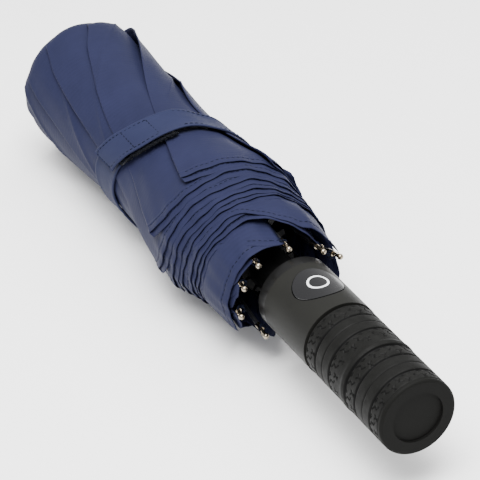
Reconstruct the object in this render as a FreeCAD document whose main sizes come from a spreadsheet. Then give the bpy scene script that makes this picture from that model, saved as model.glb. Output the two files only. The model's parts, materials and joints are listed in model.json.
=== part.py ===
import FreeCAD, Part
import math
import os

import Sketcher

# Folding umbrella, rolled and strapped, lying on its side.
# The shaft runs along +Y, from the end cap of the handle (y = 0 on the floor of the cap's recess)
# to the crown cap. +Z points out of the push button. All sizes are in millimetres and degrees.

SIZES = {
    # handle
    "handle_radius": 17.0,
    "cap_recess_depth": 1.2,
    "cap_recess_radius": 10.9,
    "cap_rim_round": 1.2,
    "cap_rim_inset": 0.4,
    "cap_thick": 2.2,
    "cap_plug_length": 10.0,
    "cap_plug_wall": 2.0,
    "grip_start": 0.8,
    "grip_length": 57.2,
    "grip_wall": 2.6,
    "groove_width": 1.2,
    "groove_depth": 1.1,
    "shell_length": 93.0,
    "shell_bore": 12.4,
    "shell_inset": 0.1,
    "bay_start": 60.6,
    "bay_bore": 14.5,
    "collar_length": 5.1,
    "collar_plug_length": 3.0,
    "collar_clear": 2.4,
    # push button and its latch
    "button_place": 77.8,
    "button_radius": 10.4,
    "button_gap": 0.3,
    "button_proud": 0.1,
    "button_lip": 1.2,
    "button_foot": 9.4,
    "arch_width": 14.8,
    "mark_radius": 4.6,
    "mark_band": 0.9,
    "mark_depth": 0.5,
    "latch_width": 5.0,
    "latch_length": 24.0,
    "latch_thick": 1.0,
    "latch_clear": 0.3,
    "button_travel": 2.5,
    "cradle_clear": 0.8,
    "cradle_top": 3.2,
    "button_spring_radius": 1.6,
    "button_spring_wire": 0.4,
    "button_spring_offset": 9.6,
    "button_spring_coils": 3.0,
    # telescoping shaft
    "inner_tube_radius": 4.5,
    "tube_wall": 0.6,
    "bush_wall": 0.7,
    "bush_length": 8.0,
    "slide_gap": 0.05,
    "outer_tube_sunk": 12.1,
    "middle_tube_sunk": 26.1,
    "middle_tube_short": 10.0,
    "inner_tube_short": 22.0,
    "socket_start": 18.0,
    "socket_floor": 3.0,
    "socket_length": 40.0,
    "socket_wall": 3.1,
    "socket_flange": 5.0,
    "pin_radius": 1.25,
    "shaft_spring_wire": 0.4,
    "shaft_spring_coils": 24.0,
    # crown and runner
    "crown_drop": 5.5,
    "crown_plug": 2.0,
    "notch_rim": 3.3,
    "notch_shoulder": 1.0,
    "notch_height": 8.0,
    "notch_slot": 1.4,
    "stud_radius": 2.5,
    "stud_reach": 4.0,
    "fabric_stack": 2.4,
    "crown_cap_radius": 9.5,
    "crown_cap_height": 10.0,
    "crown_cap_round": 5.0,
    "wire_radius": 0.5,
    "runner_rise": 2.4,
    "runner_length": 27.5,
    "runner_wall": 1.75,
    "runner_rim": 3.2,
    "runner_rim_height": 6.0,
    # ribs
    "rib_wall": 0.5,
    "rib_gap": 0.6,
    "inner_rib_width": 2.8,
    "inner_rib_depth": 2.2,
    "middle_rib_width": 2.6,
    "middle_rib_depth": 2.0,
    "lower_joint_rise": 35.0,
    "upper_joint_drop": 27.5,
    "joint_block": 4.0,
    "joint_width": 3.0,
    "rod_radius": 0.9,
    "rod_bend_rise": 20.0,
    "rod_bend_spread": 1.2,
    "rod_arc": 30.0,
    "rod_end_rise": 3.5,
    "tip_drop": 4.6,
    "tip_ball": 1.3,
    "tip_neck": 0.75,
    "tip_sleeve": 1.25,
    "stretcher_width": 1.6,
    "stretcher_thick": 1.2,
    "stretcher_length": 86.0,
    # rolled canopy and closing strap
    "mouth_rise": 6.9,
    "roll_length": 206.5,
    "roll_thick": 8.7,
    "roll_clear": 1.7,
    "roll_lip": 0.7,
    "roll_floor": 8.0,
    "rest_press": 0.9,
    "rim_round": 3.0,
    "rim_width": 5.0,
    "strap_rise": 103.0,
    "strap_width": 18.0,
    "strap_thick": 1.0,
    "strap_gap": 0.4,
    "tab_start": -14.0,
    "tab_sweep": 58.0,
    "patch_thick": 0.6,
    "patch_width": 14.0,
    "patch_sweep": 40.0,
    "patch_inset": 6.0,
}

RIB_COUNT = 10
RIB_PHASE = 2.0
# How each rib's tip lies in the tied bundle: sideways lean in degrees, and how far it lies
# inside the roll's mean radius.
RIB_TIPS = (
    (-5.0, 9.0),
    (8.0, 9.0),
    (-6.0, 5.1),
    (3.0, 6.3),
    (-4.0, 7.1),
    (2.0, 5.9),
    (-3.0, 6.9),
    (4.0, 5.1),
    (0.0, 6.1),
    (-8.0, 6.7),
)
# The rolled canopy's outline: share of its length from the mouth, and bulge past its mean radius.
ROLL_OUTLINE = (
    (0.000, -3.4),
    (0.050, -1.4),
    (0.160, 0.4),
    (0.220, 3.7),
    (0.265, 4.9),
    (0.320, 3.3),
    (0.390, 1.3),
    (0.480, -0.9),
    (0.570, -0.5),
    (0.820, 0.0),
    (0.960, 2.1),
    (1.000, 1.6),
)
# The grooves turned round the grip: distance of each from the grip's outer end.
GRIP_GROOVES = (6.4, 18.0, 25.7, 31.0, 38.6, 49.6)

doc = FreeCAD.newDocument("folding_umbrella")


class Size:
    """A length that carries its number and the sheet formula that gives it."""

    def __init__(self, value, formula):
        self.value = float(value)
        self.formula = formula

    @staticmethod
    def of(other):
        """Takes a Size as it is, and a plain number as its own formula."""
        return other if isinstance(other, Size) else Size(other, repr(float(other)))

    def __add__(self, other):
        other = Size.of(other)
        return Size(self.value + other.value, f"({self.formula} + {other.formula})")

    __radd__ = __add__

    def __sub__(self, other):
        other = Size.of(other)
        return Size(self.value - other.value, f"({self.formula} - {other.formula})")

    def __rsub__(self, other):
        return Size.of(other) - self

    def __mul__(self, other):
        other = Size.of(other)
        return Size(self.value * other.value, f"({self.formula} * {other.formula})")

    __rmul__ = __mul__

    def __truediv__(self, other):
        other = Size.of(other)
        return Size(self.value / other.value, f"({self.formula} / {other.formula})")

    def __neg__(self):
        return self * -1


class Sizes:
    """The driving dimensions, one attribute for each cell of the sheet."""

    def __init__(self, table):
        self.sheet = doc.addObject("Spreadsheet::Sheet", "Sizes")
        for row, (name, value) in enumerate(table.items(), start=1):
            self.sheet.set(f"A{row}", name)
            self.sheet.set(f"B{row}", repr(value))
            self.sheet.setAlias(f"B{row}", name)
            setattr(self, name, Size(value, f"Sizes.{name}"))


S = Sizes(SIZES)
doc.recompute()

parts = []


def keep(sub_part, name):
    """Names a finished sub-part and puts it on the list of what is written out."""
    sub_part.Label = name
    parts.append(sub_part)
    return sub_part


def plane_of(body, role):
    """The body's own origin plane with that role."""
    return next(f for f in body.Origin.OriginFeatures if f.Role == role)


def outline_sketch(body, name, role, outline):
    """A closed outline of straight lines on an origin plane, each corner bound to the sheet."""
    sketch = body.newObject("Sketcher::SketchObject", name)
    sketch.AttachmentSupport = [(plane_of(body, role), "")]
    sketch.MapMode = "FlatFace"
    corners = [(Size.of(x), Size.of(y)) for x, y in outline]
    points = [FreeCAD.Vector(x.value, y.value, 0) for x, y in corners]
    count = len(points)
    for i in range(count):
        sketch.addGeometry(Part.LineSegment(points[i], points[(i + 1) % count]), False)
    for i in range(count):
        sketch.addConstraint(Sketcher.Constraint("Coincident", i, 2, (i + 1) % count, 1))
    for i, (x, y) in enumerate(corners):
        for kind, length in (("DistanceX", x), ("DistanceY", y)):
            index = sketch.addConstraint(Sketcher.Constraint(kind, -1, 1, i, 1, length.value))
            sketch.setExpression(f"Constraints[{index}]", length.formula)
    return sketch


def turned(name, outline):
    """A body turned about the Y axis from an outline of (radius, place along Y) corners."""
    body = doc.addObject("PartDesign::Body", name)
    sketch = outline_sketch(body, f"{name}_outline", "XY_Plane", outline)
    turn = body.newObject("PartDesign::Revolution", f"{name}_turn")
    turn.Profile = sketch
    turn.ReferenceAxis = (sketch, ["V_Axis"])
    turn.Angle = 360.0
    doc.recompute()
    return body


def pressed(body, outline, width):
    """Cuts the (place along Y, height) outline away, through the given width about the axis."""
    sketch = outline_sketch(body, f"{body.Name}_rest", "YZ_Plane", outline)
    pocket = body.newObject("PartDesign::Pocket", f"{body.Name}_flat")
    pocket.Profile = sketch
    pocket.Midplane = True
    pocket.setExpression("Length", width.formula)
    body.Tip = pocket
    doc.recompute()
    return body


def tube(name, radius, wall, start, length):
    """A plain round tube about the Y axis."""
    outline = [
        (radius - wall, start),
        (radius, start),
        (radius, start + length),
        (radius - wall, start + length),
    ]
    return turned(name, outline)


def rounded(body, radius, place, blend):
    """Rounds the body's circular edge of that radius at that place along Y."""
    before = body.Tip
    names = []
    for index, edge in enumerate(before.Shape.Edges, start=1):
        curve = edge.Curve
        if not isinstance(curve, Part.Circle):
            continue
        if abs(curve.Radius - radius.value) < 1e-4 and abs(curve.Center.y - place.value) < 1e-4:
            names.append(f"Edge{index}")
    fillet = body.newObject("PartDesign::Fillet", f"{body.Name}_round")
    fillet.Base = (before, names)
    fillet.setExpression("Radius", blend.formula)
    doc.recompute()
    return body


def slotted(body, width, depth_from, depth_to, start, length):
    """Cuts a slot for each rib into the body's rim, by one pocket and a polar pattern."""
    sketch = outline_sketch(
        body,
        f"{body.Name}_slot",
        "XZ_Plane",
        [
            (-width / 2, depth_from),
            (width / 2, depth_from),
            (width / 2, depth_to),
            (-width / 2, depth_to),
        ],
    )
    sketch.setExpression("AttachmentOffset.Base.z", (-start).formula)
    pocket = body.newObject("PartDesign::Pocket", f"{body.Name}_slot_cut")
    pocket.Profile = sketch
    pocket.setExpression("Length", length.formula)
    pocket.Reversed = False
    doc.recompute()
    pattern = body.newObject("PartDesign::PolarPattern", f"{body.Name}_slots")
    pattern.Originals = [pocket]
    pattern.Axis = (sketch, ["N_Axis"])
    pattern.Angle = 360.0
    pattern.Occurrences = RIB_COUNT
    body.Tip = pattern
    doc.recompute()
    return body


def bound(feature, **formulas):
    """Binds properties of a primitive to the sheet. An underscore in a name stands for a dot."""
    for name, length in formulas.items():
        feature.setExpression(name.replace("_", "."), Size.of(length).formula)
    return feature


def box(name, low, size):
    """A box by its low corner and its size."""
    solid = doc.addObject("Part::Box", name)
    bound(solid, Length=size[0], Width=size[1], Height=size[2])
    bound(solid, Placement_Base_x=low[0], Placement_Base_y=low[1], Placement_Base_z=low[2])
    return solid


def rod_along(name, axis, radius, base, length):
    """A cylinder along +X, +Y or +Z from a base point."""
    turns = {
        "x": FreeCAD.Rotation(FreeCAD.Vector(0, 1, 0), 90),
        "y": FreeCAD.Rotation(FreeCAD.Vector(1, 0, 0), -90),
        "z": FreeCAD.Rotation(),
    }
    solid = doc.addObject("Part::Cylinder", name)
    bound(solid, Radius=radius, Height=length)
    solid.Placement = FreeCAD.Placement(FreeCAD.Vector(), turns[axis])
    bound(solid, Placement_Base_x=base[0], Placement_Base_y=base[1], Placement_Base_z=base[2])
    return solid


def combined(kind, name, first, *others):
    """A Cut, Common or Fuse of two features, repeated for each further one."""
    result = first
    for index, other in enumerate(others):
        last = index == len(others) - 1
        joined = doc.addObject(f"Part::{kind}", name if last else f"{name}_{kind}_{index}")
        joined.Base = result
        joined.Tool = other
        result = joined
    doc.recompute()
    return result


def around(radius, angle, place):
    """The point at that radius and place along Y, at an angle from +Z towards +X."""
    turn = math.radians(angle)
    return FreeCAD.Vector(radius * math.sin(turn), place, radius * math.cos(turn))


def group(name, solids):
    """Equal small pieces that share one node, as separate solids."""
    feature = doc.addObject("Part::Feature", name)
    feature.Shape = Part.makeCompound(solids)
    feature.Placement = FreeCAD.Placement()
    return keep(feature, name)


def coil(radius, wire, pitch, height, base, direction):
    """A round-wire helical spring that starts at base and climbs along direction."""
    path = Part.makeHelix(pitch, height, radius)
    start = FreeCAD.Vector(radius, 0, 0)
    heading = FreeCAD.Vector(0, 2 * math.pi * radius, pitch)
    section = Part.Wire([Part.makeCircle(wire, start, heading)])
    solid = Part.Wire(path.Edges).makePipeShell([section], True, True)
    turn = FreeCAD.Rotation(FreeCAD.Vector(0, 0, 1), direction)
    solid.Placement = FreeCAD.Placement(base, turn)
    return solid


def sector(name, inner, thick, start, width, angle, sweep):
    """A strip bent round the Y axis, from an angle (from +Z towards +X) through a sweep."""
    outline = [
        (inner, start),
        (inner + thick, start),
        (inner + thick, start + width),
        (inner, start + width),
    ]
    body = doc.addObject("PartDesign::Body", name)
    sketch = outline_sketch(body, f"{name}_outline", "XY_Plane", outline)
    turn = body.newObject("PartDesign::Revolution", f"{name}_turn")
    turn.Profile = sketch
    turn.ReferenceAxis = (sketch, ["V_Axis"])
    turn.setExpression("Angle", sweep.formula)
    quarter_turn = 90
    body.Placement = FreeCAD.Placement(
        FreeCAD.Vector(), FreeCAD.Rotation(FreeCAD.Vector(0, 1, 0), angle - quarter_turn)
    )
    doc.recompute()
    return body


# ---------------------------------------------------------------- derived places and radii
rim = -S.cap_recess_depth
cap_radius = S.handle_radius - S.cap_rim_inset
grip_bore = S.handle_radius - S.grip_wall
grip_end = S.grip_start + S.grip_length
shell_radius = S.handle_radius - S.shell_inset
handle_top = S.shell_length + S.collar_length
bay_end = S.shell_length - S.collar_plug_length
bay_length = bay_end - S.bay_start

roll_mouth = handle_top + S.mouth_rise
roll_end = roll_mouth + S.roll_length
crown_seat = roll_end - S.crown_drop
fabric_top = crown_seat + S.fabric_stack
notch_top = crown_seat - S.crown_plug
notch_foot = notch_top - S.notch_height

tube_step = S.bush_wall + S.slide_gap + S.tube_wall
middle_tube_radius = S.inner_tube_radius + tube_step
outer_tube_radius = middle_tube_radius + tube_step
middle_bore = middle_tube_radius - S.tube_wall
outer_bore = outer_tube_radius - S.tube_wall
inner_foot = S.socket_start + S.socket_floor
inner_top = notch_top - S.inner_tube_short
middle_foot = handle_top - S.middle_tube_sunk
middle_top = notch_top - S.middle_tube_short
outer_foot = handle_top - S.outer_tube_sunk

runner_start = handle_top + S.runner_rise
runner_top = runner_start + S.runner_length
runner_bore = outer_tube_radius + S.slide_gap
runner_radius = runner_bore + S.runner_wall

arch_height = outer_tube_radius + S.latch_clear + S.button_travel + S.latch_thick
collar_opening = outer_tube_radius + S.collar_clear

stretcher_radius = runner_radius + S.rib_gap / 2
inner_rib_radius = stretcher_radius + S.stretcher_thick + S.rib_gap
middle_rib_radius = inner_rib_radius + S.inner_rib_depth + S.rib_gap
rod_seat_radius = middle_rib_radius + S.middle_rib_depth + S.rod_radius + S.rib_gap * 2
rod_bend_radius = rod_seat_radius + S.rod_bend_spread
roll_hollow = rod_seat_radius + S.rod_radius + S.roll_clear
roll_radius = roll_hollow + S.roll_thick
lower_joint = roll_mouth + S.lower_joint_rise
upper_joint = roll_end - S.upper_joint_drop
rod_bend = roll_mouth + S.rod_bend_rise
rod_end = roll_mouth + S.rod_end_rise
tip_place = roll_mouth - S.tip_drop

# ---------------------------------------------------------------- handle
cap = turned(
    "end_cap",
    [
        (0, 0),
        (S.cap_recess_radius, 0),
        (S.cap_recess_radius, rim),
        (cap_radius, rim),
        (cap_radius, S.grip_start),
        (S.shell_bore, S.grip_start),
        (S.shell_bore, S.cap_plug_length),
        (S.shell_bore - S.cap_plug_wall, S.cap_plug_length),
        (S.shell_bore - S.cap_plug_wall, S.cap_thick),
        (0, S.cap_thick),
    ],
)
keep(rounded(cap, cap_radius, rim, S.cap_rim_round), "end_cap")

grip_outline = [(grip_bore, S.grip_start), (S.handle_radius, S.grip_start)]
for place in GRIP_GROOVES:
    low = S.grip_start + place
    grip_outline += [
        (S.handle_radius, low),
        (S.handle_radius - S.groove_depth, low),
        (S.handle_radius - S.groove_depth, low + S.groove_width),
        (S.handle_radius, low + S.groove_width),
    ]
grip_outline += [(S.handle_radius, grip_end), (grip_bore, grip_end)]
keep(turned("rubber_grip", grip_outline), "rubber_grip")

shell = turned(
    "handle_shell_turned",
    [
        (S.shell_bore, S.grip_start),
        (grip_bore, S.grip_start),
        (grip_bore, grip_end + S.groove_width),
        (shell_radius, grip_end + S.groove_width),
        (shell_radius, S.shell_length),
        (S.bay_bore, S.shell_length),
        (S.bay_bore, S.bay_start),
        (S.shell_bore, S.bay_start),
    ],
)


def upright(name, radius, foot=0):
    """A cylinder along the button's own axis, from a foot height to beyond the handle."""
    return rod_along(name, "z", radius, (0, S.button_place, foot), S.handle_radius * 2)


window = upright("button_window", S.button_radius + S.button_gap)
keep(combined("Cut", "handle_shell", shell, window), "handle_shell")

collar = turned(
    "collar_ring",
    [
        (collar_opening, bay_end),
        (S.bay_bore, bay_end),
        (S.bay_bore, S.shell_length),
        (shell_radius, S.shell_length),
        (shell_radius, handle_top),
        (collar_opening, handle_top),
    ],
)
keep(collar, "collar_ring")

# The socket holds the shaft's inner tube, and a cross pin goes through both.
socket_top = S.socket_start + S.socket_length
socket_waist = S.inner_tube_radius + S.socket_wall
pin_place = S.socket_start + S.socket_length / 2
socket = turned(
    "tube_socket_turned",
    [
        (0, S.socket_start),
        (S.shell_bore, S.socket_start),
        (S.shell_bore, S.socket_start + S.socket_flange),
        (socket_waist, S.socket_start + S.socket_flange),
        (socket_waist, socket_top - S.socket_flange),
        (S.shell_bore, socket_top - S.socket_flange),
        (S.shell_bore, socket_top),
        (S.inner_tube_radius, socket_top),
        (S.inner_tube_radius, inner_foot),
        (0, inner_foot),
    ],
)


def pin_shape(name):
    """The cross pin's cylinder, from one side of the socket's waist to the other."""
    base = (-socket_waist, pin_place, 0)
    return rod_along(name, "x", S.pin_radius, base, socket_waist * 2)


keep(combined("Cut", "tube_socket", socket, pin_shape("socket_pin_hole")), "tube_socket")
keep(pin_shape("socket_pin"), "socket_pin")

# ---------------------------------------------------------------- telescoping shaft
inner_blank = tube(
    "inner_tube_turned", S.inner_tube_radius, S.tube_wall, inner_foot, inner_top - inner_foot
)
keep(combined("Cut", "inner_tube", inner_blank, pin_shape("tube_pin_hole")), "inner_tube")
stop = tube(
    "inner_tube_stop",
    middle_bore - S.slide_gap,
    S.bush_wall,
    inner_top - S.bush_length,
    S.bush_length,
)
keep(stop, "inner_tube_stop")
middle = tube(
    "middle_tube", middle_tube_radius, S.tube_wall, middle_foot, middle_top - middle_foot
)
keep(middle, "middle_tube")
keep(tube("middle_bush", middle_bore, S.bush_wall, middle_foot, S.bush_length), "middle_bush")
outer = tube("outer_tube", outer_tube_radius, S.tube_wall, outer_foot, notch_top - outer_foot)
keep(outer, "outer_tube")
keep(tube("outer_bush", outer_bore, S.bush_wall, outer_foot, S.bush_length), "outer_bush")

# The long spring stands on the cross pin, inside the inner tube.
shaft_wire = S.shaft_spring_wire.value
shaft_spring_radius = S.inner_tube_radius.value - S.tube_wall.value - 2 * shaft_wire
shaft_spring_foot = (pin_place + S.pin_radius).value + 2 * shaft_wire
shaft_spring_height = inner_top.value - shaft_spring_foot - 2 * shaft_wire
shaft_spring = coil(
    shaft_spring_radius,
    shaft_wire,
    shaft_spring_height / S.shaft_spring_coils.value,
    shaft_spring_height,
    FreeCAD.Vector(0, shaft_spring_foot, 0),
    FreeCAD.Vector(0, 1, 0),
)
group("opening_spring", [shaft_spring])

# ---------------------------------------------------------------- push button and latch
def about_shaft(name, radius):
    """A cylinder about the shaft that spans the button bay."""
    return rod_along(name, "y", radius, (0, S.bay_start, 0), bay_length)


def bay_box(name, half_width, low, high):
    """A box as long as the button bay, centred across it, between two heights."""
    return box(name, (-half_width, S.bay_start, low), (half_width * 2, bay_length, high - low))


button_crown = S.handle_radius + S.button_proud
plate = combined(
    "Common",
    "button_plate",
    upright("button_plate_round", S.button_radius, S.button_foot),
    about_shaft("button_top", button_crown),
)
flange = combined(
    "Common",
    "button_flange",
    upright("button_flange_round", S.button_radius + S.button_lip, S.button_foot),
    about_shaft("button_flange_top", S.bay_bore - S.button_gap),
)
arch = bay_box("button_arch", S.arch_width / 2, 0, arch_height)


def mark_ring(name):
    """The inlaid ring's shape: a round band sunk into the top of the button."""
    band = combined(
        "Cut",
        f"{name}_band",
        upright(f"{name}_outside", S.mark_radius),
        upright(f"{name}_inside", S.mark_radius - S.mark_band),
    )
    disc = combined("Common", f"{name}_disc", band, about_shaft(f"{name}_top", button_crown))
    return combined("Cut", name, disc, about_shaft(f"{name}_floor", button_crown - S.mark_depth))


button_block = combined("Fuse", "button_block", plate, flange)
button = combined("Cut", "push_button", button_block, arch, mark_ring("button_mark_seat"))
keep(button, "push_button")
keep(mark_ring("button_mark"), "button_mark")

latch = box(
    "latch_plate",
    (
        -S.latch_width / 2,
        S.button_place - S.latch_length / 2,
        arch_height - S.latch_thick,
    ),
    (S.latch_width, S.latch_length, S.latch_thick),
)
keep(latch, "latch_plate")

cradle = combined(
    "Cut",
    "button_cradle",
    about_shaft("cradle_outside", S.bay_bore),
    about_shaft("cradle_bore", outer_tube_radius + S.cradle_clear),
    bay_box("cradle_above", S.bay_bore, S.cradle_top, S.bay_bore),
)
keep(cradle, "button_cradle")

button_wire = S.button_spring_wire.value
button_spring_height = S.button_foot.value - S.cradle_top.value - 4 * button_wire
button_springs = []
for side in (-1, 1):
    foot = FreeCAD.Vector(
        side * S.button_spring_offset.value,
        S.button_place.value,
        S.cradle_top.value + 2 * button_wire,
    )
    button_springs.append(
        coil(
            S.button_spring_radius.value,
            button_wire,
            button_spring_height / S.button_spring_coils.value,
            button_spring_height,
            foot,
            FreeCAD.Vector(0, 0, 1),
        )
    )
group("button_springs", button_springs)

# ---------------------------------------------------------------- crown and runner
notch_radius = outer_tube_radius + S.notch_rim
notch = turned(
    "crown_notch",
    [
        (outer_tube_radius, notch_foot),
        (notch_radius, notch_foot),
        (notch_radius, notch_top - S.notch_shoulder),
        (outer_tube_radius + S.notch_shoulder, crown_seat),
        (S.stud_radius, crown_seat),
        (S.stud_radius, fabric_top + S.stud_reach),
        (0, fabric_top + S.stud_reach),
        (0, notch_top),
        (outer_tube_radius, notch_top),
    ],
)
slotted(
    notch,
    S.notch_slot,
    outer_tube_radius + S.notch_shoulder,
    notch_radius + S.notch_shoulder,
    notch_foot - S.notch_shoulder,
    S.notch_height + S.crown_plug + S.notch_shoulder * 2,
)
keep(notch, "crown_notch")

cap_top = fabric_top + S.crown_cap_height
crown_cap = turned(
    "crown_cap",
    [
        (S.stud_radius, fabric_top),
        (S.crown_cap_radius, fabric_top),
        (S.crown_cap_radius, cap_top),
        (0, cap_top),
        (0, fabric_top + S.stud_reach),
        (S.stud_radius, fabric_top + S.stud_reach),
    ],
)
keep(rounded(crown_cap, S.crown_cap_radius, cap_top, S.crown_cap_round), "crown_cap")

runner_rim_foot = runner_top - S.runner_rim_height
runner_rim_radius = runner_radius + S.runner_rim
runner = turned(
    "runner",
    [
        (runner_bore, runner_start),
        (runner_radius, runner_start),
        (runner_radius, runner_rim_foot),
        (runner_rim_radius, runner_rim_foot),
        (runner_rim_radius, runner_top),
        (runner_bore, runner_top),
    ],
)
slotted(
    runner,
    S.notch_slot,
    runner_radius,
    runner_rim_radius + S.notch_shoulder,
    runner_rim_foot - S.notch_shoulder,
    S.runner_rim_height + S.notch_shoulder * 2,
)
keep(runner, "runner")


def hinge_wire(radius, place):
    """A wire ring lying against an end face, on which the ribs or stretchers hang."""
    wire = S.wire_radius.value
    return Part.makeTorus(radius, wire, FreeCAD.Vector(0, place, 0), FreeCAD.Vector(0, 1, 0))


wire_ring = S.wire_radius.value
group(
    "hinge_wires",
    [
        hinge_wire((outer_tube_radius + S.notch_rim / 2).value, notch_foot.value - wire_ring),
        hinge_wire((runner_bore + S.runner_wall / 2).value, runner_top.value + wire_ring),
    ],
)

# ---------------------------------------------------------------- ribs
def channel(name, angle, radius, width, depth, start, end):
    """A U-section rib that runs along Y at an angle round the shaft, open towards the shaft."""
    body = doc.addObject("PartDesign::Body", name)
    floor = radius + depth - S.rib_wall
    side = width / 2 - S.rib_wall
    sketch = outline_sketch(
        body,
        f"{name}_section",
        "XZ_Plane",
        [
            (-width / 2, radius),
            (-side, radius),
            (-side, floor),
            (side, floor),
            (side, radius),
            (width / 2, radius),
            (width / 2, radius + depth),
            (-width / 2, radius + depth),
        ],
    )
    pad = body.newObject("PartDesign::Pad", f"{name}_length")
    pad.Profile = sketch
    pad.setExpression("Length", (end - start).formula)
    body.Placement = FreeCAD.Placement(
        FreeCAD.Vector(), FreeCAD.Rotation(FreeCAD.Vector(0, 1, 0), angle)
    )
    body.setExpression("Placement.Base.y", end.formula)
    return keep(body, name)


def block(angle, inner, outer, start, length, width):
    """A small block at an angle round the shaft, from one radius to another."""
    low = FreeCAD.Vector(-width.value / 2, start.value, inner.value)
    solid = Part.makeBox(width.value, length.value, outer.value - inner.value, low)
    solid.rotate(FreeCAD.Vector(), FreeCAD.Vector(0, 1, 0), angle)
    return solid


def rod(start, end, radius):
    """A round rod from one point to another."""
    return Part.makeCylinder(radius.value, (end - start).Length, start, end - start)


def ball(centre, radius):
    """A ball about a point."""
    return Part.makeSphere(radius.value, centre)


def outer_rib(seat, bend, sleeve):
    """The wire rib: straight from its seat, round a gentle bend, and outwards to the sleeve."""
    down = (bend - seat).normalize()
    out = (sleeve - bend).normalize()
    half_turn = down.getAngle(out) / 2
    arc_radius = S.rod_arc.value
    reach = arc_radius * math.tan(half_turn)
    first = bend - down * reach
    last = bend + out * reach
    middle = bend + (out - down).normalize() * (arc_radius / math.cos(half_turn) - arc_radius)
    path = Part.Wire(
        [
            Part.LineSegment(seat, first).toShape(),
            Part.Arc(first, middle, last).toShape(),
            Part.LineSegment(last, sleeve).toShape(),
        ]
    )
    section = Part.Wire([Part.makeCircle(S.rod_radius.value, seat, down)])
    return path.makePipe(Part.Face(section))


def rib_tip(sleeve, point):
    """The tip: a sleeve on the wire, a thin neck that the hem is sewn to, and a ball."""
    neck = sleeve + (point - sleeve) * 0.45
    body = rod(sleeve, neck, S.tip_sleeve)
    return body.fuse([rod(neck, point, S.tip_neck), ball(point, S.tip_ball)]).removeSplitter()


inner_rib_end = notch_foot - S.wire_radius * 2 - S.slide_gap
joint_blocks = []
tips = []
stretchers = []
for rib, (lean, inset) in enumerate(RIB_TIPS):
    number = f"{rib + 1:02d}"
    angle = RIB_PHASE + rib * 360.0 / RIB_COUNT
    channel(
        f"inner_rib_{number}",
        angle,
        inner_rib_radius,
        S.inner_rib_width,
        S.inner_rib_depth,
        lower_joint,
        inner_rib_end,
    )
    channel(
        f"middle_rib_{number}",
        angle,
        middle_rib_radius,
        S.middle_rib_width,
        S.middle_rib_depth,
        lower_joint,
        upper_joint,
    )
    seat = around(rod_seat_radius.value, angle, upper_joint.value)
    bend = around(rod_bend_radius.value, angle, rod_bend.value)
    point = around(roll_radius.value - inset, angle + lean, tip_place.value)
    sleeve = bend + (point - bend) * ((rod_bend - rod_end).value / (rod_bend - tip_place).value)
    group(f"outer_rib_{number}", outer_rib(seat, bend, sleeve).Solids)
    tips += rib_tip(sleeve, point).Solids
    lower_outer = middle_rib_radius + S.middle_rib_depth
    lower_start = lower_joint - S.joint_block
    lower = block(
        angle, inner_rib_radius, lower_outer, lower_start, S.joint_block, S.joint_width
    )
    upper_outer = rod_seat_radius + S.rod_radius
    upper = block(
        angle, middle_rib_radius, upper_outer, upper_joint, S.joint_block, S.joint_width
    )
    joint_blocks += [lower, upper]
    stretcher_outer = stretcher_radius + S.stretcher_thick
    stretcher_start = runner_top + S.wire_radius * 2
    stretchers.append(
        block(
            angle,
            stretcher_radius,
            stretcher_outer,
            stretcher_start,
            S.stretcher_length,
            S.stretcher_width,
        )
    )
group("rib_joints", joint_blocks)
group("rib_tips", tips)
group("stretchers", stretchers)

# ---------------------------------------------------------------- rolled canopy and strap
mouth_radius = roll_radius + ROLL_OUTLINE[0][1]
roll_outline = [(mouth_radius - S.roll_lip, roll_mouth)]
for share, bulge in ROLL_OUTLINE:
    roll_outline.append((roll_radius + bulge, roll_mouth + S.roll_length * share))
roll_outline += [
    (roll_radius - S.rim_round / 2, roll_end + S.rim_round),
    (roll_radius - S.rim_width, roll_end + S.rim_round / 2),
    (S.crown_cap_radius + S.strap_gap, fabric_top),
    (S.stud_radius, fabric_top),
    (S.stud_radius, crown_seat),
    (notch_radius, crown_seat),
    (roll_hollow, crown_seat - S.roll_floor),
    (roll_hollow, rod_bend),
]
roll = turned("canopy_roll", roll_outline)

# Its own weight presses a narrow flat under the fullest place, level with the low side of the grip.
fullest_share, fullest_bulge = max(ROLL_OUTLINE, key=lambda corner: corner[1])
rest_place = roll_mouth + S.roll_length * fullest_share
rest_depth = roll_radius + fullest_bulge - S.rest_press
rest_slope = (rest_depth - S.handle_radius) / (rest_place - S.grip_start)
rest_far = S.handle_radius + (roll_end - S.grip_start) * rest_slope
rest_outline = [
    (S.grip_start, -S.handle_radius),
    (S.grip_start, -rest_far),
    (roll_end, -rest_far),
]
keep(pressed(roll, rest_outline, roll_radius * 3), "canopy_roll")

strap_place = roll_mouth + S.strap_rise
strap_start = strap_place - S.strap_width / 2
strap_top = roll_radius + S.strap_gap + S.strap_thick
hook_bore = strap_top + S.patch_thick + S.strap_gap
tab_last = (S.tab_start - S.tab_sweep).value
patch_last = (S.tab_start - S.tab_sweep + S.patch_inset).value
patch_start = strap_place - S.patch_width / 2
keep(tube("closure_strap", strap_top, S.strap_thick, strap_start, S.strap_width), "closure_strap")


def patch(name, bore):
    """Half of the hook-and-loop fastening, under the end of the tab."""
    strip = sector(
        name, bore, S.patch_thick, patch_start, S.patch_width, patch_last, S.patch_sweep
    )
    return keep(strip, name)


patch("loop_patch", strap_top)
patch("hook_patch", hook_bore)
tab = sector(
    "strap_tab",
    hook_bore + S.patch_thick,
    S.strap_thick,
    strap_start,
    S.strap_width,
    tab_last,
    S.tab_sweep,
)
keep(tab, "strap_tab")

# ---------------------------------------------------------------- check and write
doc.recompute()
for item in doc.Objects:
    if "Invalid" in item.State or "Error" in item.State:
        raise RuntimeError(f"{item.Name} failed to build: {item.State}")
for part in parts:
    if part.Shape.isNull() or not part.Shape.isValid() or not part.Shape.Solids:
        raise RuntimeError(f"{part.Label} has no sound solid")

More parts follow.
